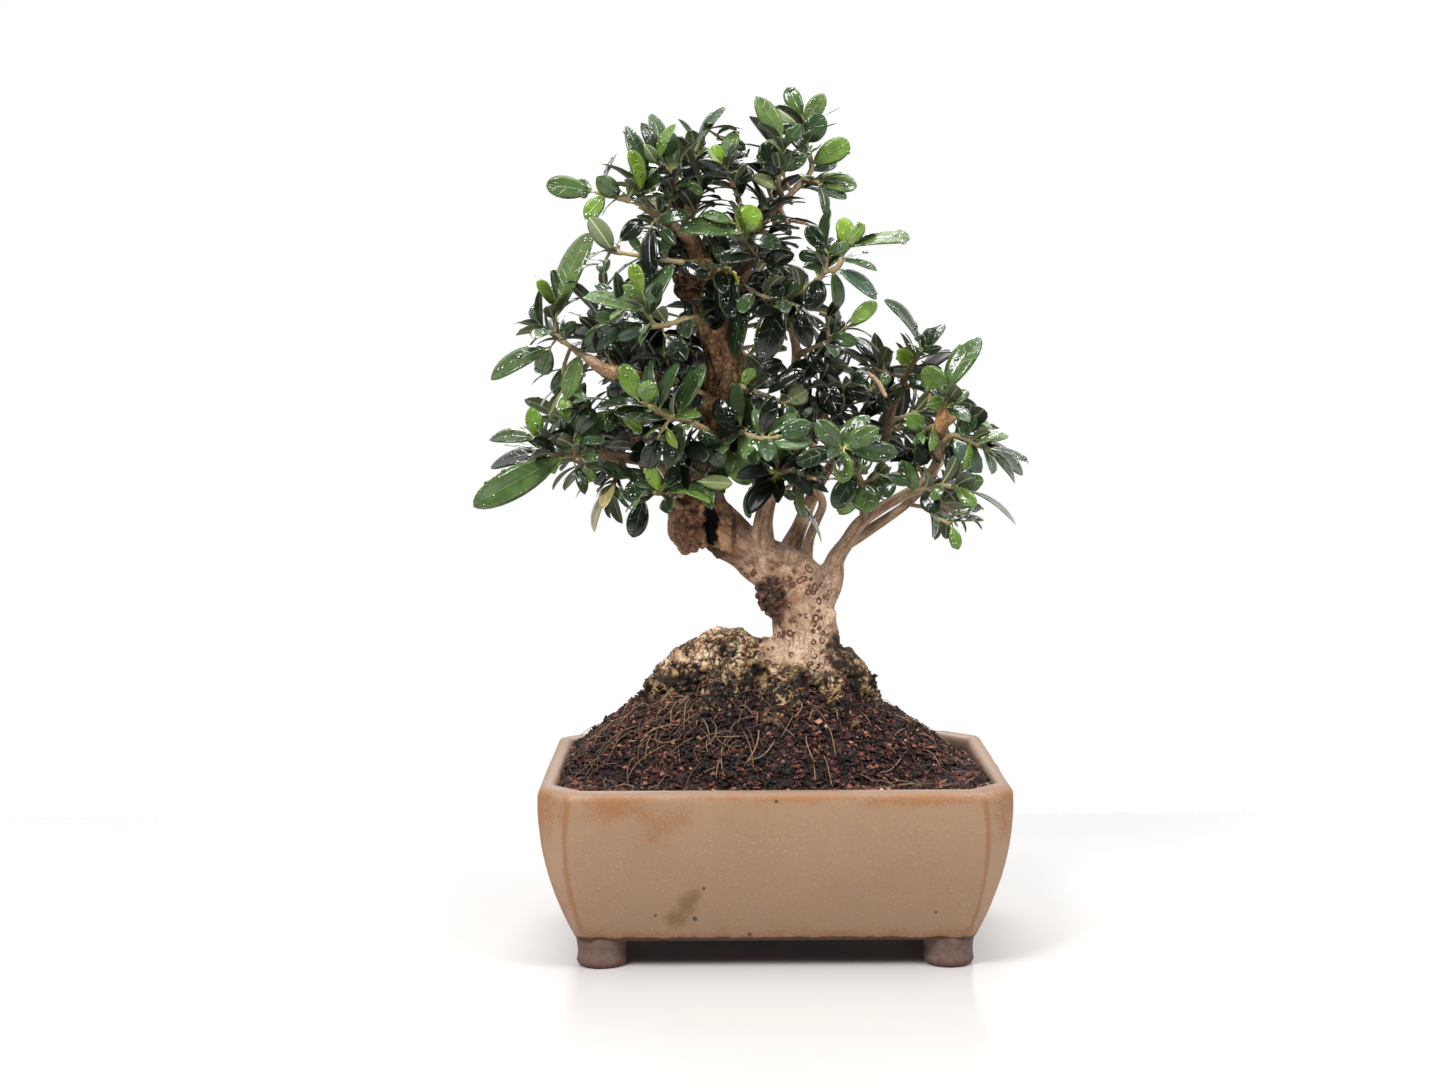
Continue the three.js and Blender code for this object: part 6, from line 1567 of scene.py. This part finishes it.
def look_of(name, leaf, draws):
    """How a leaf looks: by its row, or by dice, in painted shade inside the crown and younger at small ones.
    """
    if leaf["row"] in LOOKS:
        return LOOKS[leaf["row"]]
    if name in ("right_dark", "dried_clump"):
        return "dark" if name == "right_dark" else "deep"
    depth = np.linalg.norm((leaf["tip"] - CROWN_MIDDLE) / np.array([95, 60, 95]))
    luck = next(draws)
    if name == "inner_shoots":
        return "dark" if luck < 0.7 else "deep"
    if leaf["length"] < 15 and depth > 0.6:
        return "pale" if luck < 0.12 else "young" if luck < 0.2 else "middling" if luck < 0.45 else "deep"
    if depth < 0.5:
        return "dark" if luck < 0.6 else "deep"
    return "middling" if luck < 0.2 else "dark" if luck < 0.3 else "deep"


print("leaves named by their look:", len(LOOKS))

# %% [markdown]
# ## A leaf's shape
# An olive's leaf is leathery, widest past its middle, with a rounded tip and a short stalk. A flat card
# with a cut-out would look thin and catch no light. So each is a closed blade: a ring of twelve points
# is carried from the round stalk to the tip, and flattens into a thin lens that folds up a little along
# the midrib. Each leaf bows, twists and ripples by its own dice.

# %% Blade rings
BLADE_STEPS = [0, 0.03, 0.08, 0.17, 0.28, 0.4, 0.52, 0.64, 0.76, 0.86, 0.93, 0.977, 1]
INNER_BLADE_STEPS = BLADE_STEPS[::2]
BLADE_SIDES = 12
STALK, BLADE = 0.42, 0.2
ring_s = np.array([-1, -0.66, -0.3, 0, 0.3, 0.66, 1, 0.66, 0.3, 0, -0.3, -0.66])
ring_up = np.array([1] * 7 + [-1] * 5)
round_turn = math.pi * (1 - np.arange(BLADE_SIDES) / 6)
round_s, round_up = np.cos(round_turn), np.sin(round_turn)


def half_width(share, foot, end):
    """Half the width of the blade at a share of the leaf's length, over its greatest half. foot and end
    say how slowly it widens from the stalk and narrows to the tip."""
    inner = max(0.0, (share - 0.07) / 0.93)
    widest = foot / (foot + end)
    return inner**foot * (1 - inner) ** end / (widest**foot * (1 - widest) ** end)


def blade(leaf, stem, steps, draws):
    """A leaf's points and faces, and each point's place across and along."""
    span = leaf["tip"] - leaf["base"]
    length = leaf["length"]
    along = span / length
    fold, twist = 0.1 + 0.22 * next(draws), 0.5 * (next(draws) - 0.5)
    ripple, phase, hook = 0.5 * next(draws), 6.3 * next(draws), 0.06 * (next(draws) - 0.35) * length
    foot, end = 0.6 + 0.25 * next(draws), 0.44 + 0.26 * next(draws)
    points, across_all, along_all = [], [], []
    for share in steps:
        normal = turned(leaf["normal"], along, twist * share)
        side = np.cross(normal, along)
        bow = 4 * ARCH * length * share * (1 - share) - hook * share**3
        middle = leaf["base"] + span * share + normal * bow
        if share == 0:
            middle = stem
        half = half_width(share, foot, end) * leaf["width"] / 2
        flat = min(1.0, half / 1.4)
        wide = max(half, STALK * (1 - 0.75 * step_between(share, 0.95, 1)))
        lens = BLADE * (1 - 0.8 * ring_s**2) * (1.6 - share)
        lifted = fold * np.abs(ring_s) * wide * (1 - 0.45 * np.abs(ring_s))
        lifted = lifted + ripple * np.sin(9 * share + phase + ring_s) * np.abs(ring_s) * 0.35
        out = ring_s * wide * flat + round_s * STALK * (1 - flat)
        up = (lifted + ring_up * lens) * flat + round_up * STALK * (1 - flat) * (1 - 0.7 * (share > 0.9))
        points.append(middle + out[:, None] * side + up[:, None] * normal)
        across_all.append(ring_s * wide)
        along_all.append(np.full(BLADE_SIDES, share * length))
    faces = ring_faces(BLADE_SIDES, len(steps))
    return np.concatenate(points), faces, np.concatenate(across_all), np.concatenate(along_all)


def sides_up(steps):
    """Which material each face of a blade takes: 0 at the stalk's end, 1 above and 2 below."""
    return [0] + [1 if s < 6 else 2 for _ in steps[1:] for s in range(BLADE_SIDES)] + [1]


print("faces of a leaf:", len(sides_up(BLADE_STEPS)), "and of one inside:", len(sides_up(INNER_BLADE_STEPS)))

# %% [markdown]
# ## Wet leathery leaves
# An olive's upper face is a thick waxy skin, and this one has just been sprayed. So the eye gets a deep
# green, a clear gloss coat, a pale midrib and a yellowish edge. Water stands on it in beads of about a
# millimetre, which a bump from a Voronoi texture raises. The underside is matt and much paler, with
# felt that scatters the light.

# %% Upper face of a leaf
upper, node, where = new_material("wet waxy leaf face")
leaf_colour = node("Attribute", attribute_name="leaf colour", output="Color")
across, along, edge = (
    node("Attribute", attribute_name=layer, output="Fac") for layer in ("across", "along", "edge"))
off_rib = node("Math", {0: across}, operation="ABSOLUTE")
rib = node("MapRange", {0: off_rib, 1: 0.3, 2: 0.05, 4: 0.6})
slant = node("Math", {0: off_rib, 1: -0.8, 2: along}, operation="MULTIPLY_ADD")
vein_wave = node("Math", {0: slant, 1: 1.8}, operation="MULTIPLY")
vein_wave = node("Math", {0: vein_wave}, operation="SINE")
vein = node("MapRange", {0: vein_wave, 1: 0.9, 2: 1.0, 4: 0.08})
tone = node("TexNoise", {"Vector": where, "Scale": 1 / 5, "Detail": 3.0})
tone_shade = node("MapRange", {0: tone, 1: 0.3, 2: 0.7, 3: 0.72, 4: 1.3})
toned = node("Mix", {0: 1.0, 6: leaf_colour, 7: tone_shade}, **SHADED)
veins = node("Math", {0: rib, 1: vein}, operation="MAXIMUM")
wax_tint = {0: toned, 1: (2.6, 2.4, 3.0), 2: (0.012, 0.016, 0.008)}
paler = node("VectorMath", wax_tint, operation="MULTIPLY_ADD")
veined = node("Mix", {0: veins, 6: toned, 7: paler}, **IN_COLOUR)
edge_share = node("MapRange", {0: edge, 1: 0.86, 2: 1.0, 4: 0.6})
edged = node("Mix", {0: edge_share, 6: veined, 7: "#7A8C50"}, **IN_COLOUR)
beads = node("TexVoronoi", {"Vector": where, "Scale": 1 / 3.2}, output="Distance")
bead_size = node("TexVoronoi", {"Vector": where, "Scale": 1 / 3.2}, output="Color")
bead_reach = node("MapRange", {0: bead_size, 1: 0.35, 2: 1.0, 4: 0.34})
bead_depth = node("Math", {0: bead_reach, 1: beads}, operation="SUBTRACT")
bead = node("MapRange", {0: bead_depth, 1: 0.0, 2: 0.25})
bead_top = node("Math", {0: bead, 1: 0.5}, operation="POWER")
leather = node("TexNoise", {"Vector": where, "Scale": 1 / 1.1})
leather_relief = node("Bump", {"Height": leather, "Distance": 0.05 * MM})
rib_relief = node("Bump", {"Height": veins, "Distance": -0.6 * MM, "Normal": leather_relief})
wet_relief = node("Bump", {"Height": bead_top, "Distance": 0.8 * MM, "Normal": rib_relief})
waxy = {"Base Color": edged, "Roughness": 0.35, "IOR": 1.25, "Normal": wet_relief}
waxy |= {"Coat Weight": 1.0, "Coat Roughness": 0.04, "Coat Normal": wet_relief}
node("OutputMaterial", {"Surface": node("BsdfPrincipled", waxy)})

# %% Underside of a leaf and bark of a twig
under, node, where = new_material("felted leaf underside")
felt_colour = node("Attribute", attribute_name="under colour", output="Color")
across = node("Attribute", attribute_name="across", output="Fac")
off_rib = node("Math", {0: across}, operation="ABSOLUTE")
rib = node("MapRange", {0: off_rib, 1: 0.5, 2: 0.1, 4: 0.6})
felt = node("TexNoise", {"Vector": where, "Scale": 1 / 0.8, "Detail": 3.0})
felt_shade = node("MapRange", {0: felt, 1: 0.3, 2: 0.7, 3: 0.8, 4: 1.15})
felted = node("Mix", {0: 1.0, 6: felt_colour, 7: felt_shade}, **SHADED)
ribbed = node("Mix", {0: rib, 6: felted, 7: "#C2C896"}, **IN_COLOUR)
felt_relief = node("Bump", {"Height": felt, "Distance": 0.06 * MM})
rib_relief = node("Bump", {"Height": rib, "Distance": 0.4 * MM, "Normal": felt_relief})
matt_under = {"Base Color": ribbed, "Roughness": 0.6, "Sheen Weight": 0.15, "Normal": rib_relief}
node("OutputMaterial", {"Surface": node("BsdfPrincipled", matt_under)})

# Painted shade: a dull copy of the leaf face for the inner shoots, deep in the crown's shade.
shaded_face, node, _ = new_material("shaded old leaf face")
shaded_colour = node("Attribute", attribute_name="leaf colour", output="Color")
dull_leaf_in_shade = {"Base Color": shaded_colour, "Roughness": 0.5, "IOR": 1.2}
dull_leaf_in_shade |= {"Coat Weight": 0.12, "Coat Roughness": 0.1}
node("OutputMaterial", {"Surface": node("BsdfPrincipled", dull_leaf_in_shade)})

twig_bark, node, where = new_material("young olive bark")
twig_colour = node("Attribute", attribute_name="leaf colour", output="Color")
warts = node("TexNoise", {"Vector": where, "Scale": 1 / 0.9, "Detail": 3.0, "Roughness": 0.6})
wart_shade = node("MapRange", {0: warts, 1: 0.3, 2: 0.7, 3: 0.65, 4: 1.25})
warty = node("Mix", {0: 1.0, 6: twig_colour, 7: wart_shade}, **SHADED)
wart_relief = node("Bump", {"Height": warts, "Distance": 0.2 * MM})
young_bark = {"Base Color": warty, "Roughness": 0.65, "Normal": wart_relief}
node("OutputMaterial", {"Surface": node("BsdfPrincipled", young_bark)})

# %% [markdown]
# ## Putting a spray together
# Twigs swell where a leaf leaves them and end in a small bud. A leaf's stalk starts on the nearest
# place of its twig, so none hangs in the air. A leaf that shows its pale underside gets its two faces
# swapped, because the wind turned it over.

# %% Sprays
SPRAY_SEED, TWIG_COLOURS = 32452843, ["#94825C", "#A08E68", "#887452", "#7C6A4C"]
wet_leaves = []
for number, (name, spray) in enumerate(sprays.items()):
    draws = dice(SPRAY_SEED * (number + 1))
    parts, which = [], []
    told = {layer: [] for layer in ("leaf colour", "under colour", "across", "along", "edge")}
    spine = [spot for path in spray["paths"] for spot, radius, position in path]
    bases = np.array([leaf["base"] for leaf in spray["leaves"]] or [[0, 0, 0]])
    twig_tint = np.array(linear(TWIG_COLOURS[int(4 * next(draws))]))
    steps = INNER_BLADE_STEPS if name == "inner_shoots" else BLADE_STEPS
    stems = [leaf["twiglet"] for leaf in spray["leaves"] if leaf["twiglet"]]
    for path in spray["paths"] + [curve_through(stem, 1.5) for stem in stems]:
        swollen = []
        for k, (spot, radius, position) in enumerate(path):
            nearest_base = np.min(np.linalg.norm(bases - spot, axis=1))
            knot = 1 + 0.4 * math.exp(-((nearest_base / 0.9) ** 2))
            swollen.append((spot, radius * knot * (0.72 + 0.16 * next(draws)), position))
        points, faces = tube(swollen, 7, 0, 0.35)
        parts.append((points, faces))
        which += [0] * len(faces)
        for layer, values in told.items():
            at_twig = np.tile(twig_tint, (len(points), 1))
            values.append(at_twig if "colour" in layer else np.zeros(len(points)))
    spine = np.array(spine + [place(spot[:3]) for stem in stems for spot in stem])
    for leaf in spray["leaves"]:
        look = look_of(name, leaf, draws)
        stem = spine[np.argmin(np.linalg.norm(spine - leaf["base"], axis=1))]
        if np.linalg.norm(stem - leaf["base"]) > 3:
            stem = leaf["base"]
        points, faces, across_leaf, along_leaf = blade(leaf, stem, steps, draws)
        parts.append((points, faces))
        swap = look == "under"
        which += [0 if part == 0 else (3 - part if swap else part) for part in sides_up(steps)]
        shade = SHADES[look][int(len(SHADES[look]) * next(draws))]
        # Painted shade: faces of the inner shoots are darkened to 0.4 and their undersides to 0.08, and the
        # undersides of leaves that aren't listed to 0.45. Otherwise sun is a random tone.
        shaded = 0.08 if name == "inner_shoots" else 1.0 if leaf["row"] else 0.45
        sun = (0.85 + 0.3 * next(draws)) * (0.4 if name == "inner_shoots" else 1.0)
        face_tint = np.tile(np.array(linear(shade)) * sun, (len(points), 1))
        stalk_share = 1 - step_between(along_leaf / leaf["length"], 0.04, 0.14)
        face_tint = face_tint + (np.array(linear("#9AA45E")) - face_tint) * stalk_share[:, None]
        told["leaf colour"].append(face_tint)
        under_shade = UNDERSIDES[int(4 * next(draws))] if look != "dried" else "#7A5A3C"
        felt_tint = np.array(linear(under_shade)) * shaded * (0.8 + 0.3 * next(draws))
        told["under colour"].append(np.tile(felt_tint, (len(points), 1)))
        told["across"].append(across_leaf)
        told["along"].append(along_leaf)
        told["edge"].append(np.abs(np.tile(ring_s, len(steps))))
        if not swap and look != "dried" and name != "inner_shoots":
            wet_leaves.append((points.reshape(-1, BLADE_SIDES, 3), leaf, face_tint[-1]))
    stands_for = [] if name == "inner_shoots" else ["spray_" + name]
    finishes = [twig_bark, shaded_face if name == "inner_shoots" else upper, under]
    piece = add_piece("spray_of_" + name, *merged(parts), finishes, "leaf", stands_for, which)
    for layer, values in told.items():
        paint(piece, layer, np.concatenate(values))

# %% [markdown]
# ## Water drops
# The tree has just been sprayed. Water on waxy leaves stands in domes of up to 3 mm, and each mirrors a
# soft box as one bright point. A bump gives no such point, so the larger drops are real domes, set a
# little into their leaf. Clear water shows the leaf below it, so each dome takes its leaf's own colour, a
# little darker, under a mirror-smooth skin.

# %% Drops on the upper faces
DROP_SEED, DROP_SIDES, DROP_RINGS, LARGEST_DROP = 11, 7, [(1.0, -0.1), (0.86, 0.14), (0.5, 0.29)], 1.5
draw = np.random.default_rng(DROP_SEED)
drops, drop_tint = [], []
turns = 2 * math.pi * np.arange(DROP_SIDES) / DROP_SIDES
drop_faces = ring_faces(DROP_SIDES, len(DROP_RINGS))[:-1]
top, low = DROP_SIDES * len(DROP_RINGS), DROP_SIDES * (len(DROP_RINGS) - 1)
drop_faces += [(low + s, low + (s + 1) % DROP_SIDES, top) for s in range(DROP_SIDES)]
for rings, leaf, leaf_tint in wet_leaves:
    count = int(leaf["length"] * leaf["width"] / 42 * draw.uniform(0.2, 1.8))
    for _ in range(count):
        i, s = int(draw.integers(3, len(BLADE_STEPS) - 3)), int(draw.integers(0, 6))
        u, v = draw.uniform(0.1, 0.9, 2)
        near_edge, far_edge = rings[i], rings[i + 1]
        ahead, aside = far_edge[s] - near_edge[s], near_edge[s + 1] - near_edge[s]
        spot = near_edge[s] * (1 - u) * (1 - v) + near_edge[s + 1] * u * (1 - v) + far_edge[s] * (1 - u) * v
        spot = spot + far_edge[s + 1] * u * v
        up = unit(np.cross(aside, ahead))
        up = up if up @ leaf["normal"] > 0 else -up
        aside = unit(np.cross(up, ahead))
        ahead = np.cross(aside, up)
        radius = min(LARGEST_DROP, draw.lognormal(-0.12, 0.4))
        points = [
            spot + radius * (up * tall + wide * (math.cos(turn) * ahead * 1.15 + math.sin(turn) * aside))
            for wide, tall in DROP_RINGS for turn in turns]
        drop_tint += [leaf_tint * 0.8] * (len(points) + 1)
        drops.append((np.array(points + [spot + up * radius * 0.35]), drop_faces))
water, node, _ = new_material("clear water")
seen_through = node("Attribute", attribute_name="leaf colour", output="Color")
clear_dome = {"Base Color": seen_through, "Roughness": 0.05, "IOR": 1.33}
clear_dome |= {"Coat Weight": 1.0, "Coat Roughness": 0.03, "Coat IOR": 1.8}
node("OutputMaterial", {"Surface": node("BsdfPrincipled", clear_dome)})
water_drops = add_piece("water_drops", *merged(drops), [water], "leaf")
paint(water_drops, "leaf colour", drop_tint)
print("drops:", len(drops))

# %% [markdown]
# ## The solid model's box and the triangles drawn
# The box of the solid model is printed again, with the number of triangles that the shown meshes draw.

# %% Sizes and the end
triangles_drawn = sum(len(face.vertices) - 2 for piece in bpy.data.objects
    if piece.type == "MESH" and not piece.hide_render for face in piece.data.polygons)
print("solid model:", cad_box)
print("triangles drawn:", triangles_drawn)
